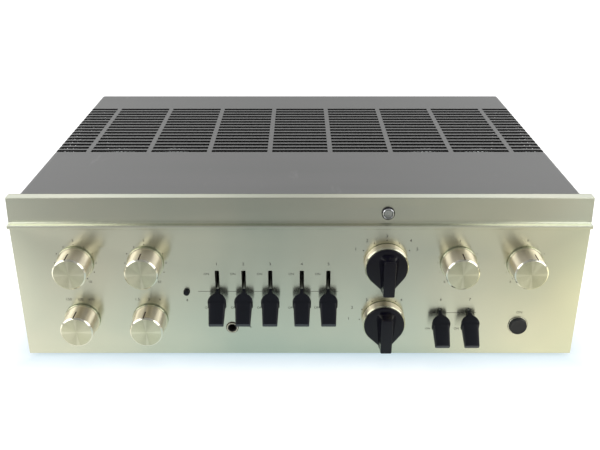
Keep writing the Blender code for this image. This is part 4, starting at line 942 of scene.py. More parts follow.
# Input selector and mode selector.
# Each has a champagne ring turned like the knobs, and over it a glossy black moulding: a disc
# drawn out to a tail, with a grip bar across it whose flanks are hollowed for the fingers.
RING_RADIUS = 0.0173
RING_FRONT = -0.0086
RING_CHAMFER = 0.0008
DISC_RADIUS = 0.0163
DISC_BACK = -0.0089
DISC_FRONT = -0.011
TAIL_HALF = 0.004
TAIL_END = 0.0201
GRIP_FRONT = -0.02
GRIP_TOP = 0.0104
GRIP_HALF = 0.0047
GRIP_TAIL_HALF = 0.0045
GRIP_TAIL_END = 0.0204
GRIP_FLARE = 0.004
GRIP_SHIFT = 0.0013

gloss_black, tree, shader, places = finish("gloss_black", (0.003, 0.0026, 0.007), IOR=1.5,
                                           Specular_IOR_Level=0.32)
finger = clouds(places, 160.0, 4.0, 0.6)
feed(mixed(finger, (0.002, 0.0016, 0.005), (0.0042, 0.0036, 0.01)), shader, "Base Color")
feed(ranged(finger, 0.4, 0.75, 0.13, 0.28), shader, "Roughness")
relief(shader, clouds(places, 420.0, 2.0), 0.000012, 0.4)


def skinned(shape, rings, close_start=True, close_end=True, finish_number=0):
    """Joins rings of equally many points into one skin and closes its ends."""
    made = [[shape.verts.new(spot) for spot in ring] for ring in rings]
    faces = []
    for one, two in zip(made, made[1:]):
        for index in range(len(one)):
            after = (index + 1) % len(one)
            faces.append(shape.faces.new((one[index], one[after], two[after], two[index])))
    faces += [shape.faces.new(made[0])] if close_start else []
    faces += [shape.faces.new(made[-1])] if close_end else []
    for face in faces:
        face.material_index = finish_number
    bmesh.ops.recalc_face_normals(shape, faces=faces)
    return faces


def teardrop(x, z, inset, depth):
    """The disc's outline with its tail, drawn in by an inset."""
    radius, half, end = DISC_RADIUS - inset, TAIL_HALF - inset, TAIL_END - inset
    corner = math.acos(radius / math.hypot(half, end))
    tangent = math.atan2(-end, half) + corner
    turns = [tangent + (math.pi - 2 * tangent) * step / 64 for step in range(65)]
    outline = [(x + radius * math.cos(turn), z + radius * math.sin(turn)) for turn in turns]
    outline += [(x + GRIP_SHIFT - half, z - end), (x + GRIP_SHIFT + half, z - end)]
    smooth = rounded(outline, [0] * 65 + [0.0012, 0.0012], 4, closed=True)
    return [(a, depth, b) for a, b in smooth]


def grip(x, z, flare, inset, depth):
    """The grip bar's outline at one depth."""
    upper, lower = GRIP_HALF + flare - inset, GRIP_TAIL_HALF + flare * 0.2 - inset
    top, bottom = GRIP_TOP + flare * 0.45 - inset, GRIP_TAIL_END - inset
    x += GRIP_SHIFT
    outline = [(x - upper, z + top), (x + upper, z + top), (x + lower, z - bottom), (x - lower, z - bottom)]
    corner = 0.0014 + flare * 0.9
    smooth = rounded(outline, [corner, corner, 0.0011, 0.0011], 8, closed=True)
    return [(a, depth, b) for a, b in smooth]


for name, (x, z) in SELECTORS.items():
    bore = SHAFT_RADIUS + 0.0003
    outline = [(bore, KNOB_BACK), (RING_RADIUS, KNOB_BACK), (RING_RADIUS, RING_FRONT + RING_CHAMFER),
               (RING_RADIUS - RING_CHAMFER, RING_FRONT), (bore, RING_FRONT), (bore, KNOB_BACK)]
    bends = rounded(outline, [0, 0.0003, 0.00015, 0.00015, 0, 0], 3)
    bands = []
    for one, two in zip(bends, bends[1:]):
        radius, depth = (one[0] + two[0]) / 2, (one[1] + two[1]) / 2
        bands.append(1 if radius > RING_RADIUS * 0.98 and depth < -0.001 else 0)
    shape = bmesh.new()
    lathe(shape, bends, (x, 0, z), "Y", 120, bands)
    welded(shape)
    settle(name + "_ring", shape, [champagne_turned, champagne_side_sheen, champagne_polished], name,
           [name + "_base"], 32)

    shape = bmesh.new()
    layers = ((0.0002, DISC_BACK), (0, DISC_BACK - 0.0002), (0, DISC_FRONT + 0.0009),
              (0.00008, DISC_FRONT + 0.0006), (0.00028, DISC_FRONT + 0.0004), (0.0006, DISC_FRONT + 0.0003),
              (0.002, DISC_FRONT + 0.00017), (0.0034, DISC_FRONT + 0.00005), (0.0039, DISC_FRONT))
    skinned(shape, [teardrop(x, z, inset, depth) for inset, depth in layers])
    rings = []
    for step in range(11):
        part = step / 10
        depth = DISC_FRONT + 0.0004 + (GRIP_FRONT + 0.0006 - DISC_FRONT - 0.0004) * part
        rings.append(grip(x, z, GRIP_FLARE * (1 - part) ** 2.2, 0, depth))
    for inset, depth in ((0.00008, 0.0003), (0.00026, 0.0001), (0.0006, 0)):
        rings.append(grip(x, z, 0, inset, GRIP_FRONT + depth))
    skinned(shape, rings)
    lathe(shape, [(0, DISC_BACK - 0.0008), (SHAFT_RADIUS, DISC_BACK - 0.0008), (SHAFT_RADIUS, SHAFT_BACK),
                  (0, SHAFT_BACK)], (x, 0, z), "Y", 32, [1, 1, 1])
    settle(name + "_handle", shape, [gloss_black, plated_steel], name,
           [name + "_pointer"], 40)


# Seven rocker levers.
# Each is a satin black moulded paddle on a flat steel arm. Its tip end is a lighter black, a painted
# highlight, and the arm is a light matt grey, painted light. The arm comes out through its slot and
# rocks on two pins in the frame behind the sub panel.
LEVER_PIVOT = 0.045
ARM_HALF_WIDTH = 0.0011
ARM_HALF_HEIGHT = 0.0025
ARM_FRONT = -0.004
PIN_RADIUS = 0.0015
PIN_END = 0.0032
BOSS_RADIUS = 0.004
BOSS_END = 0.0017
TIP_SOFTNESS = 0.0004
# The cap in side view: the upper edge's way out and rise, the lower edge's, and the width
CAP = (
    ((0.0006, 0.0026), (0.0006, -0.0026), 0.0028),
    ((0.004, 0.0024), (0.004, -0.0028), 0.003),
    ((0.0056, 0.0014), (0.0048, -0.0044), 0.0042),
    ((0.0066, 0.0008), (0.0054, -0.0058), 0.0086),
    ((0.0079, -0.0003), (0.0063, -0.0074), 0.0126),
    ((0.0094, -0.0017), (0.0076, -0.009), 0.0145),
    ((0.0107, -0.0032), (0.009, -0.0103), 0.0147),
    ((0.0116, -0.005), (0.01, -0.011), 0.0134),
    ((0.0172, -0.0103), (0.0156, -0.0154), 0.0126),
    ((0.024, -0.0163), (0.0218, -0.0199), 0.0117),
)

satin_black = worked("satin_black", (0.003, 0.004, 0.0075), (700.0, 3.0, 0.6),
                     ((0.0022, 0.0032, 0.006), (0.0042, 0.0056, 0.01)), (0.3, 0.42), blotch=(90.0, 3.0),
                     raised=(0.00002, 0.4), IOR=1.5, Specular_IOR_Level=0.26)
# The end faces of the caps are a lighter black than the rest: a painted highlight where the tips catch the
# light.
tip_highlight_black = worked("tip_highlight_black", (0.03, 0.036, 0.046), (500.0, 4.0, 0.6),
                    ((0.022, 0.027, 0.036), (0.044, 0.051, 0.062)), IOR=1.5, Roughness=0.5)
# The arms are a light matt grey, not bright steel, so the part seen down each slot reads lit: painted light
# standing in for light that does not reach it.
arm_grey = worked("arm_grey", (0.4, 0.43, 0.38), (260.0, 4.0, 0.6), ((0.34, 0.37, 0.32), (0.46, 0.49, 0.44)),
                  (0.35, 0.55))


def between(rows, steps):
    """Points along a smooth curve through rows of numbers, ends kept."""
    result = []
    last = len(rows) - 1
    for index in range(last):
        around = [rows[max(index - 1, 0)], rows[index], rows[index + 1], rows[min(index + 2, last)]]
        for step in range(steps):
            t = step / steps
            weights = (-t ** 3 + 2 * t ** 2 - t, 3 * t ** 3 - 5 * t ** 2 + 2, -3 * t ** 3 + 4 * t ** 2 + t,
                       t ** 3 - t ** 2)
            result.append([sum(w * row[place] for w, row in zip(weights, around)) / 2
                           for place in range(len(rows[0]))])
    return result + [list(rows[last])]


def cap_section(x, z, upper, lower, width, inset=0.0):
    """One rounded section across the cap, its upper side a little crowned."""
    top, low = Vector((-upper[0], upper[1])), Vector((-lower[0], lower[1]))
    down = low - top
    height = down.length
    down.normalize()
    half = width / 2 - inset
    flat = [(-half, -inset), (-half * 0.5, -inset + 0.0002), (0, -inset + 0.0003),
            (half * 0.5, -inset + 0.0002), (half, -inset), (half, inset - height), (-half, inset - height)]
    soft = max(0.0004, min(0.0017, height * 0.28) - inset)
    under = max(0.0003, 0.0009 - inset)
    smooth = rounded(flat, [soft, 0, 0, 0, soft, under, under], 5, closed=True)
    return [(x + a, top.x - down.x * b, z + top.y - down.y * b) for a, b in smooth]


for name, (x, z) in LEVERS.items():
    rows = between([(*upper, *lower, width) for upper, lower, width in CAP], 4)
    rings = [cap_section(x, z, row[0:2], row[2:4], row[4]) for row in rows[:-1]]
    before, tip = Vector(rows[-2]), Vector(rows[-1])
    way = (tip - before) / (Vector(tip[0:2]) - Vector(before[0:2])).length
    for back, inset in ((0.0004, 0), (0.0002, 0.00006), (0.00006, 0.0002), (0, TIP_SOFTNESS)):
        row = tip - way * back
        rings.append(cap_section(x, z, row[0:2], row[2:4], row[4], inset))
    shape = bmesh.new()
    # The faces of the tip end take the lighter black of the painted highlight.
    for face in skinned(shape, rings)[-1 - 2 * len(rings[0]):]:
        face.material_index = 1
    settle(name + "_cap", shape, [satin_black, tip_highlight_black], name, [name], 40)
    shape = bmesh.new()
    block(shape, (x - ARM_HALF_WIDTH, ARM_FRONT, z - ARM_HALF_HEIGHT),
          (x + ARM_HALF_WIDTH, LEVER_PIVOT, z + ARM_HALF_HEIGHT), 0.0003, 1)
    pin = [(0, -PIN_END), (PIN_RADIUS, -PIN_END), (PIN_RADIUS, -BOSS_END), (BOSS_RADIUS, -BOSS_END),
           (BOSS_RADIUS, BOSS_END), (PIN_RADIUS, BOSS_END), (PIN_RADIUS, PIN_END), (0, PIN_END)]
    lathe(shape, pin, (x, LEVER_PIVOT, z), "X", 32)
    settle(name + "_arm", shape, arm_grey, name)


# Tone defeat button, power button and its bezel.
# Both buttons are black mouldings on plungers that run back to their switches. The power button
# sits in a thin champagne ring pressed into the panel.
PEG_RADIUS = 0.0024
BUTTON_RADIUS = 0.007
BUTTON_BACK = 0.006
BUTTON_DISH = 0.0003
PLUNGER_RADIUS = 0.003
BEZEL_BORE = 0.0073
BEZEL_RADIUS = 0.0079
BEZEL_PROUD = 0.0006

shape = bmesh.new()
low, high = span("tone_defeat_button")[:2]
outline = [(0, low.y), (PEG_RADIUS, low.y), (PEG_RADIUS, high.y), (0, high.y)]
lathe(shape, rounded(outline, [0, 0.0006, 0.0002, 0], 4), (DEFEAT[0], 0, DEFEAT[1]), "Y", 48)
settle("tone_defeat_peg", shape, satin_black, "tone_defeat_button", ["tone_defeat_button"])

button_black = worked("button_black", (0.018, 0.02, 0.024), (380.0, 4.0, 0.6),
                      ((0.014, 0.016, 0.02), (0.024, 0.026, 0.03)), (0.25, 0.38), IOR=1.5,
                      Specular_IOR_Level=0.35)

shape = bmesh.new()
low, high = span("power_button")[:2]
outline = [(0, low.y + BUTTON_DISH), (0.0052, low.y + 0.0002), (0.006, low.y), (BUTTON_RADIUS, low.y),
           (BUTTON_RADIUS, BUTTON_BACK), (PLUNGER_RADIUS, BUTTON_BACK), (PLUNGER_RADIUS, high.y),
           (0, high.y)]
lathe(shape, rounded(outline, [0, 0.0006, 0.0003, 0.0008, 0.0003, 0.0003, 0.0002, 0], 4),
      (POWER[0], 0, POWER[1]), "Y", 72)
settle("power_button_cap", shape, button_black, "power_button", ["power_button"])
shape = bmesh.new()
outline = [(BEZEL_BORE, PANEL_PLATE), (BEZEL_RADIUS, PANEL_PLATE), (BEZEL_RADIUS, 0),
           (BEZEL_RADIUS, -BEZEL_PROUD), (BEZEL_BORE, -BEZEL_PROUD), (BEZEL_BORE, PANEL_PLATE)]
lathe(shape, rounded(outline, [0, 0.0001, 0, 0.00025, 0.00015, 0], 3), (POWER[0], 0, POWER[1]), "Y", 96)
welded(shape)
settle("power_bezel_ring", shape, champagne_polished, "housing", ["power_bezel"])


# Headphone jack.
# A black moulded jack behind the panels. Its threaded bushing comes through them and is held in
# front by a turned brass ring nut, nickel plated, with a dark bore inside.
RING_BORE = 0.0032
NUT_RADIUS = 0.0051
NUT_PROUD = 0.0011
LINER_BORE = 0.003
LINER_FRONT = -0.0006
LINER_BACK = 0.033
LINER_END = 0.0334

nickel = worked("nickel_brass", (0.66, 0.61, 0.47), (180.0, 4.0, 0.6),
                ((0.58, 0.52, 0.38), (0.74, 0.7, 0.58)), (0.16, 0.32), Metallic=1.0)
tarnish = worked("tarnish", (0.06, 0.045, 0.026), (520.0, 4.0, 0.6),
                 ((0.03, 0.022, 0.013), (0.095, 0.074, 0.046)), (0.35, 0.55), Metallic=0.6)

shape = bmesh.new()
outline = [(RING_BORE, 0), (NUT_RADIUS, 0), (NUT_RADIUS, -0.0004), (0.0047, -0.0006),
           (0.0044, -NUT_PROUD), (0.0038, -NUT_PROUD), (0.0034, -0.0003), (RING_BORE, -0.0003),
           (RING_BORE, 0)]
bends = rounded(outline, [0, 0, 0.0002, 0.0001, 0.0002, 0.0002, 0.0002, 0, 0], 3)
bands = [int(one[0] + two[0] > 0.0091 or one[0] + two[0] < 0.0074) for one, two in zip(bends, bends[1:])]
lathe(shape, bends, (HEADPHONE[0], 0, HEADPHONE[1]), "Y", 72, bands)
welded(shape)
settle("headphone_ring", shape, [nickel, tarnish], "housing")
shape = bmesh.new()
outline = [(0, LINER_BACK), (LINER_BORE, LINER_BACK), (LINER_BORE, LINER_FRONT), (RING_BORE, LINER_FRONT),
           (RING_BORE, LINER_END), (0, LINER_END)]
lathe(shape, outline, (HEADPHONE[0], 0, HEADPHONE[1]), "Y", 48)
settle("headphone_liner", shape, switch_black, "housing")


# Pilot lamp.
# A black collar and a chromed ring hold a small faceted jewel of smoky plastic in front of the
# bulb. The barrel behind them passes through both panels.
SEAT_RADIUS = 0.0035
SEAT_DEPTH = 0.003
BARREL_RADIUS = 0.0041
BARREL_BACK = 0.022
CHROME_RADIUS = 0.0044
COLLAR_RADIUS = 0.0051
JEWEL_SIDES = 8

chrome = worked("chrome", (0.72, 0.73, 0.74), (400.0, 3.0), (), (0.05, 0.14), Metallic=1.0)
jewel_grey = worked("pilot_jewel", (0.4, 0.42, 0.39), (500.0, 2.0), ((0.22, 0.24, 0.22), (0.52, 0.54, 0.5)),
                    Roughness=0.1, IOR=1.49, Transmission_Weight=0.25, Coat_Weight=0.3)

shape = bmesh.new()
outline = [(0, SEAT_DEPTH), (SEAT_RADIUS, SEAT_DEPTH), (SEAT_RADIUS, -0.001), (0.0039, -0.0017),
           (CHROME_RADIUS, -0.001), (CHROME_RADIUS, 0.0006), (BARREL_RADIUS, 0.001),
           (BARREL_RADIUS, BARREL_BACK), (0, BARREL_BACK)]
bends = rounded(outline, [0, 0.0002, 0.0001, 0.0003, 0.0001, 0, 0, 0.0002, 0], 4)
lathe(shape, bends, (LAMP[0], 0, LAMP[1]), "Y", 64)
outline = [(CHROME_RADIUS, 0.0011), (COLLAR_RADIUS, 0.0011), (COLLAR_RADIUS, -0.0006), (0.0049, -0.001),
           (CHROME_RADIUS, -0.0006), (CHROME_RADIUS, 0.0011)]
bends = rounded(outline, [0, 0, 0.0001, 0.0001, 0, 0], 3)
lathe(shape, bends, (LAMP[0], 0, LAMP[1]), "Y", 64, [1] * (len(bends) - 1))
settle("pilot_collar", shape, [chrome, gloss_black], "housing", ["pilot_bezel"])

shape = bmesh.new()
facets = []
for radius, depth, sides_turned in ((0.0034, 0.0025, 0), (0.0034, -0.0009, 0), (0.0027, -0.0019, 0.5),
                                    (0.0015, -0.0021, 0), (0.0004, -0.0027, 0.5)):
    turns = [2 * math.pi * (step + sides_turned) / JEWEL_SIDES for step in range(JEWEL_SIDES)]
    facets.append([(LAMP[0] + radius * math.cos(turn), depth, LAMP[1] + radius * math.sin(turn))
                   for turn in turns])
skinned(shape, facets)
bmesh.ops.triangulate(shape, faces=shape.faces)
settle("pilot_jewel_cut", shape, jewel_grey, "housing", ["pilot_jewel"], 5)


# Rear panel with its sockets, terminals, fuse holder and cord gland.
# Phenolic strips carry two rows of nickel plated sockets and two rows of screw terminals. The
# fuse sits under a fluted cap, and the mains cord would leave through the gland.
REAR_FACE = 0.2977
STRIP_BACK = 0.2997
REAR_ROWS = (0.088, 0.058)
STRIP_MARGIN = 0.009
JACK_PITCH = 0.018
TERMINAL_PITCH = 0.019
SOCKET_LENGTH = 0.0095
TERMINAL_LENGTH = 0.014
SOCKET_BORE = 0.0034
SOCKET_SHELL = 0.0042
SOCKET_FLANGE = 0.0054
POST_RADIUS = 0.0026
POST_HEIGHT = 0.0048
FUSE_RADIUS = 0.0075
FUSE_FLANGE = 0.002
GLAND_BORE = 0.0036
GLAND_SHANK = 0.006
GLAND_FLANGE = 0.009

rear_steel, tree, shader, places = finish("rear_steel", (0.2, 0.2, 0.205), Roughness=0.45)
fleck = clouds(places, 1500.0, 3.0, 0.6)
shadow = clouds(places, 16.0, 4.0)
tone = mixed(shadow, (0.16, 0.16, 0.163), (0.24, 0.24, 0.242))
feed(mixed(ranged(fleck, 0.35, 0.65, 0.0, 0.18), tone, (0.08, 0.08, 0.08)), shader, "Base Color")
feed(ranged(fleck, 0.3, 0.7, 0.38, 0.55), shader, "Roughness")
relief(shader, fleck, 0.00003, 0.4)
dress(rear_steel, "rear_panel")

strip_brown = worked("strip_brown", (0.05, 0.033, 0.022), (1.0, 3.0),
                     ((0.034, 0.022, 0.015), (0.075, 0.05, 0.034)), (0.34, 0.52), grain=(260.0, 900.0, 900.0))
socket_insulator = worked("socket_insulator", (0.55, 0.53, 0.48), (300.0,),
                          ((0.48, 0.46, 0.41), (0.62, 0.6, 0.55)), Roughness=0.45)
terminal_red = worked("terminal_red", (0.28, 0.02, 0.014), (240.0,),
                      ((0.22, 0.014, 0.01), (0.36, 0.03, 0.02)), Roughness=0.35)
print_white = worked("print_white", (0.62, 0.61, 0.56), (2600.0,), ((0.52, 0.51, 0.46), (0.7, 0.69, 0.65)),
                     Roughness=0.55)

tree, given, result = new_tree("set_copies", {"Piece": ("Object", None), "Size": ("Float", 1.0),
                                              "Finish": ("Material", None)})
piece = node(tree, "GeometryNodeObjectInfo", {"Object": given["Piece"], "As Instance": True},
             transform_space="ORIGINAL").outputs["Geometry"]
facing = node(tree, "GeometryNodeInputNamedAttribute", {"Name": "facing"},
              data_type="FLOAT_VECTOR").outputs["Attribute"]
turned = node(tree, "FunctionNodeAlignRotationToVector", {"Vector": facing}, axis="Z").outputs["Rotation"]
size = node(tree, "ShaderNodeCombineXYZ", {0: given["Size"], 1: given["Size"], 2: given["Size"]}).outputs[0]
spread = node(tree, "GeometryNodeInstanceOnPoints", {"Points": given["Geometry"], "Instance": piece,
                                                     "Rotation": turned, "Scale": size}).outputs[0]
made_real(spread, given["Finish"], result)
set_copies = tree


def copies(shape, model, places, material, number=0, size=1.0):
    """Adds a copy of a small model, drawn standing up, at each of the (place, facing) pairs."""
    data = bpy.data.meshes.new("model")
    model.to_mesh(data)
    data.materials.append(material)
    pattern = bpy.data.objects.new("model", data)
    bpy.context.collection.objects.link(pattern)
    points = bpy.data.meshes.new("points")
    points.from_pydata([place for place, way in places], [], [])
    ways = points.attributes.new("facing", "FLOAT_VECTOR", "POINT")
    for index, (place, way) in enumerate(places):
        ways.data[index].vector = way
    grown_shape = grown("copies", points, set_copies, {"Piece": pattern, "Size": size, "Finish": material})
    for face in grown_shape.faces:
        face.material_index = number
    spare = bpy.data.meshes.new("spare")
    grown_shape.to_mesh(spare)
    grown_shape.free()
    shape.from_mesh(spare)
    for spent in (spare, data):
        bpy.data.meshes.remove(spent)


def strip(node_name, columns, pitch):
    """The phenolic strip under a group of rear fittings, and the places of the fittings on it."""
    low, high, middle = span(node_name)
    shape = bmesh.new()
    block(shape, (low.x, REAR_FACE, REAR_ROWS[1] - STRIP_MARGIN),
          (high.x, STRIP_BACK, REAR_ROWS[0] + STRIP_MARGIN), 0.0005, 2)
    spots = [((middle.x + (step - (columns - 1) / 2) * pitch, STRIP_BACK, z), (0, 1, 0))
             for z in REAR_ROWS for step in range(columns)]
    return shape, spots


shape, spots = strip("input_jacks", 8, JACK_PITCH)
SOCKET_STAND = SOCKET_LENGTH - (STRIP_BACK - REAR_FACE)
shell = bmesh.new()
outline = [(SOCKET_BORE, 0.0006), (SOCKET_FLANGE, 0.0006), (SOCKET_FLANGE, 0.0014), (SOCKET_SHELL, 0.0018),
           (SOCKET_SHELL, SOCKET_STAND), (SOCKET_BORE, SOCKET_STAND), (SOCKET_BORE, 0.0006)]
lathe(shell, outline, (0, 0, 0), "Z", 32)
welded(shell)
copies(shape, shell, spots, nickel, 1)
shell = bmesh.new()
lathe(shell, [(0.0008, 0.004), (0.0014, 0.0066), (0.0018, 0.0066), (0.002, 0.0034), (SOCKET_BORE, 0.003),
              (SOCKET_BORE, 0.0002), (0.0008, 0.0002), (0.0008, 0.004)], (0, 0, 0), "Z", 24)
welded(shell)
copies(shape, shell, spots, socket_insulator, 2)
settle("input_jack_strip", shape, [strip_brown, nickel, socket_insulator], "housing",
       ["input_jacks"])

shape, spots = strip("speaker_terminals", 4, TERMINAL_PITCH)
TERMINAL_STAND = TERMINAL_LENGTH - (STRIP_BACK - REAR_FACE)


def fluted(radius, shallow, low, high, lobes):
    """A fluted cap standing up, its top edge softened."""
    cap = bmesh.new()
    rings = []
    for inset, level in ((0, low), (0, high - 0.0006), (0.0002, high - 0.0002), (0.0006, high)):
        ring = []
        for step in range(lobes * 4):
            turn = 2 * math.pi * step / (lobes * 4)
            reach = radius - inset - (shallow if step % 4 in (2, 3) else 0)
            ring.append((reach * math.cos(turn), reach * math.sin(turn), level))
        rings.append(ring)
    skinned(cap, rings)
    return cap


post = bmesh.new()
lathe(post, [(0, 0.0002), (0.005, 0.0002), (0.005, 0.0016), (POST_RADIUS, 0.002), (POST_RADIUS, POST_HEIGHT),
             (0, POST_HEIGHT)], (0, 0, 0), "Z", 32)
copies(shape, post, spots, nickel, 1)
cap = fluted(0.0045, 0.0004, 0.0042, TERMINAL_STAND, 9)
copies(shape, cap, spots[:4], terminal_red, 2)
copies(shape, cap, spots[4:], switch_black, 3)
settle("speaker_terminal_strip", shape, [strip_brown, nickel, terminal_red, switch_black], "housing",
       ["speaker_terminals"])

low, high, middle = span("fuse_holder")
shape = bmesh.new()
outline = [(0, REAR_FACE), (FUSE_RADIUS, REAR_FACE), (FUSE_RADIUS, REAR_FACE + FUSE_FLANGE),
           (0, REAR_FACE + FUSE_FLANGE)]
lathe(shape, rounded(outline, 0.0005, 3), (middle.x, 0, middle.z), "Y", 48)
copies(shape, fluted(0.0062, 0.0004, 0.0016, high.y - REAR_FACE, 14),
       [((middle.x, REAR_FACE, middle.z), (0, 1, 0))], switch_black)
settle("fuse_cap", shape, switch_black, "housing", ["fuse_holder"])

low, high, middle = span("cord_gland")
shape = bmesh.new()
outline = [(GLAND_BORE, low.y), (GLAND_SHANK, low.y), (GLAND_SHANK, REAR_FACE), (GLAND_FLANGE, REAR_FACE),
           (GLAND_FLANGE, REAR_FACE + 0.002), (0.0062, REAR_FACE + 0.0024), (0.0055, high.y),
           (GLAND_BORE, high.y), (GLAND_BORE, low.y)]
bends = rounded(outline, [0, 0.0004, 0, 0.0004, 0.0005, 0.0004, 0.0008, 0.0006, 0], 3)
lathe(shape, bends, (middle.x, 0, middle.z), "Y", 48)
welded(shape)
settle("cord_gland_bush", shape, switch_black, "housing", ["cord_gland"])


# Screws.
# Pan-head machine screws with cross recesses, bright plated. They hold the cover to the chassis
# walls, the rear panel and its strips, the bottom plate, and the feet.
HEAD_RADIUS = 0.003
HEAD_HEIGHT = 0.0019
BOTTOM = 0.009
SIDE_SCREWS = (0.045, 0.154, 0.264)
SIDE_SCREW_UP = 0.03
REAR_SCREWS = (0.024, 0.118)
REAR_SCREW_SEAT = 0.2974
BOTTOM_SCREWS = (0.025, 0.154, 0.285)
OUTER_SCREWS = 0.205

bright_screw = worked("bright_screw", (0.62, 0.61, 0.58), (800.0, 3.0),
                      ((0.5, 0.49, 0.46), (0.7, 0.69, 0.66)), (0.18, 0.34), Metallic=1.0)

head = bmesh.new()
outline = [(0, -0.0004), (HEAD_RADIUS, -0.0004), (HEAD_RADIUS, 0.0006), (0.0026, 0.0014),
           (0.0014, HEAD_HEIGHT), (0, HEAD_HEIGHT)]
lathe(head, rounded(outline, [0, 0, 0.0003, 0.0006, 0.0008, 0], 3), (0, 0, 0), "Z", 32)
cross = bmesh.new()
block(cross, (-0.0018, -0.0004, 0.0007), (0.0018, 0.0004, 0.003))
other = bmesh.new()
block(other, (-0.0004, -0.0018, 0.0007), (0.0004, 0.0018, 0.003))
head = carved(head, cross, [bright_screw])
head = carved(head, other, [bright_screw])

spots = []
for side in (-1, 1):
    for back in SIDE_SCREWS:
        spots.append(((side * COVER_HALF, back, SIDE_SCREW_UP), (side, 0, 0)))
    for up in REAR_SCREWS:
        for across in (OUTER_SCREWS, 0.025):
            spots.append(((side * across, REAR_SCREW_SEAT, up), (0, 1, 0)))
    for back in BOTTOM_SCREWS:
        for across in (OUTER_SCREWS, 0.09):
            spots.append(((side * across, back, BOTTOM), (0, 0, -1)))
for name in ("input_jacks", "speaker_terminals"):
    low, high = span(name)[:2]
    for across in (low.x + 0.0038, high.x - 0.0038):
        spots.append(((across, STRIP_BACK, (REAR_ROWS[0] + REAR_ROWS[1]) / 2), (0, 1, 0)))
for name in ("foot_left", "foot_right", "foot_rear_left", "foot_rear_right"):
    low, high = span(name)[:2]
    spots.append((((low.x + high.x) / 2, (low.y + high.y) / 2, low.z + FOOT_RECESS_DEPTH), (0, 0, -1)))
shape = bmesh.new()
copies(shape, head, spots, bright_screw)
head.free()
settle("screw_heads", shape, bright_screw, "housing")

rear_print = bmesh.new()
for count, middle, pitch, rise in ((8, -0.118, JACK_PITCH, 0.0064), (4, 0.062, TERMINAL_PITCH, 0.0069)):
    for step in range(count):
        across = middle + (step - (count - 1) / 2) * pitch
        for z in REAR_ROWS:
            numeral(rear_print, str(step + 1), -across, z + rise, 0.0018)
bmesh.ops.rotate(rear_print, verts=rear_print.verts, cent=(0, 0, 0), matrix=Matrix.Rotation(math.pi, 3, "Z"))
bmesh.ops.translate(rear_print, verts=rear_print.verts, vec=(0, STRIP_BACK, 0))
settle("rear_print", rear_print, print_white, "housing")


# Floor, light and camera.
# A white paper floor with a soft shadow under the amplifier: partly cast, partly a painted bluish
# shadow close round it. In reflections the floor shows a painted glow, brighter near the panel. A wide
# light above it, and a soft light to each side that the polished edges of the knobs pick up.
plane = bmesh.new()
bmesh.ops.create_grid(plane, x_segments=1, y_segments=1, size=6)
data = bpy.data.meshes.new("floor")
plane.to_mesh(data)
plane.free()
floor = bpy.data.objects.new("floor", data)
bpy.context.collection.objects.link(floor)

paper = bpy.data.materials.new("paper")
paper.use_nodes = True
tree = paper.node_tree
tree.nodes.clear()
FLOOR_TONE = (0.42, 0.42, 0.42)
SHADE_TONE = (0.5, 0.61, 0.68)
light_path = tree.nodes.new("ShaderNodeLightPath").outputs
mirrored = greatest(light_path["Is Glossy Ray"], light_path["Is Transmission Ray"])
ground = parts_of(node(tree, "ShaderNodeTexCoord").outputs["Object"])
outside = sum_of("ABSOLUTE", ground[0])
distance = minus(PLACE.y, ground[1])
# Seen in reflections only, the floor glows by place: a painted glow, brightest close to the panel and fading
# away from it, dimmer and bluish across the middle as painted shade, yellowish to the right, and brighter at
# the wings.
painted_glow = plus(ranged(distance, 0.0, 0.2, 0.62, 0.0), ranged(distance, 0.1, 0.5, 0.2, 0.0))
aside = ranged(ground[0], 0.1, 0.28, 0.0, 1.0)
middle = ranged(outside, 0.06, 0.2, 1.0, 0.0)
painted_glow = times(plus(painted_glow, times(aside, 0.1)), minus(1.0, times(middle, 0.4)))
tint = mixed(aside, mixed(middle, (1.0, 0.97, 0.88), (0.78, 1.0, 1.02)), (1.0, 0.92, 0.6))
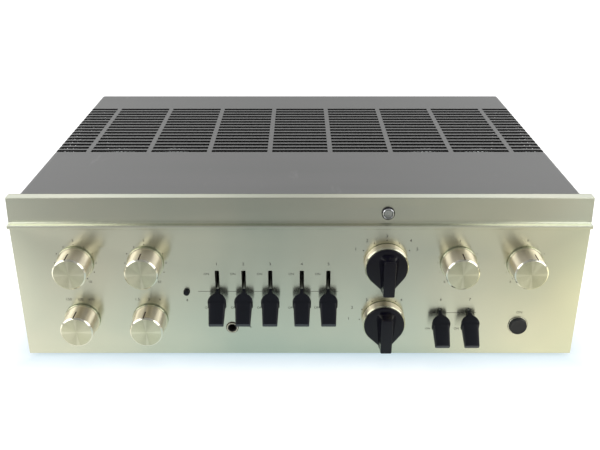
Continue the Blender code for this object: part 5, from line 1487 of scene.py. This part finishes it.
# Seen straight on, the floor takes SHADE_TONE under and just in front of the amplifier: a painted bluish
# shadow over the real shadow of its matt part.
clear = greatest(ranged(distance, 0.0, 0.055, 0.0, 1.0), ranged(distance, -0.42, -0.34, 1.0, 0.0))
clear = greatest(ranged(outside, 0.22, 0.27, 0.0, 1.0), clear)
painted_shadow_tone = mixed(clear, SHADE_TONE, (1.0, 1.0, 1.0))
wings = times(ranged(outside, 0.25, 0.36, 0.0, 0.45), ranged(distance, 0.06, 0.16, 1.0, 0.0))
painted_glow = plus(painted_glow, wings)
lit = mixed(light_path["Is Camera Ray"], tint, painted_shadow_tone)
strength = plus(light_path["Is Camera Ray"], times(mirrored, painted_glow))
glow = node(tree, "ShaderNodeEmission", {"Color": lit, "Strength": strength})
matt = node(tree, "ShaderNodeBsdfDiffuse", {"Color": (*FLOOR_TONE, 1)})
both = node(tree, "ShaderNodeAddShader", {0: glow.outputs[0], 1: matt.outputs[0]})
node(tree, "ShaderNodeOutputMaterial", {"Surface": both.outputs[0]})
data.materials.append(paper)

world = bpy.data.worlds.new("studio")
bpy.context.scene.world = world
world.use_nodes = True
tree = world.node_tree
tree.nodes.clear()
light_path = tree.nodes.new("ShaderNodeLightPath").outputs
way = parts_of(node(tree, "ShaderNodeTexCoord").outputs["Generated"])
mirrored = greatest(light_path["Is Glossy Ray"], light_path["Is Transmission Ray"])
mirrored = times(mirrored, ranged(way[1], -0.15, 0.35, 0.36, 1.0))
mirrored = times(mirrored, ranged(sum_of("ABSOLUTE", way[0]), 0.04, 0.34, 0.7, 1.15))
strength = greatest(greatest(light_path["Is Camera Ray"], mirrored), 0.32)
air = node(tree, "ShaderNodeBackground", {"Color": (1, 1, 1, 1), "Strength": strength})
node(tree, "ShaderNodeOutputWorld", {"Surface": air.outputs[0]})


def soft_light(name, place, target, width, height, power):
    """A rectangular soft light aimed at a place."""
    lamp = bpy.data.lights.new(name, "AREA")
    lamp.shape = "RECTANGLE"
    lamp.size, lamp.size_y, lamp.energy = width, height, power
    holder = bpy.data.objects.new(name, lamp)
    bpy.context.collection.objects.link(holder)
    holder.location = place
    holder.rotation_euler = (Vector(target) - Vector(place)).to_track_quat("-Z", "Y").to_euler()
    return holder


soft_light("light_above", (0.0, -0.1, 1.7), (0, 0, 0.08), 1.5, 1.1, 11).visible_glossy = False
soft_light("light_left", (-1.25, -0.6, 0.72), (0, 0, 0.08), 1.2, 1.0, 8)
soft_light("light_right", (1.2, -0.64, 0.72), (0, 0, 0.08), 1.2, 1.0, 8)

lens = bpy.data.cameras.new("camera")
lens.sensor_fit = "HORIZONTAL"
lens.sensor_width = 36.0
lens.lens = 47.351
camera = bpy.data.objects.new("camera", lens)
camera.location = (0.00005, -0.70102, 0.37359)
camera.rotation_euler = (math.radians(65.62), 0, 0)
bpy.context.collection.objects.link(camera)
bpy.context.scene.camera = camera
bpy.context.scene.view_settings.view_transform = "Standard"
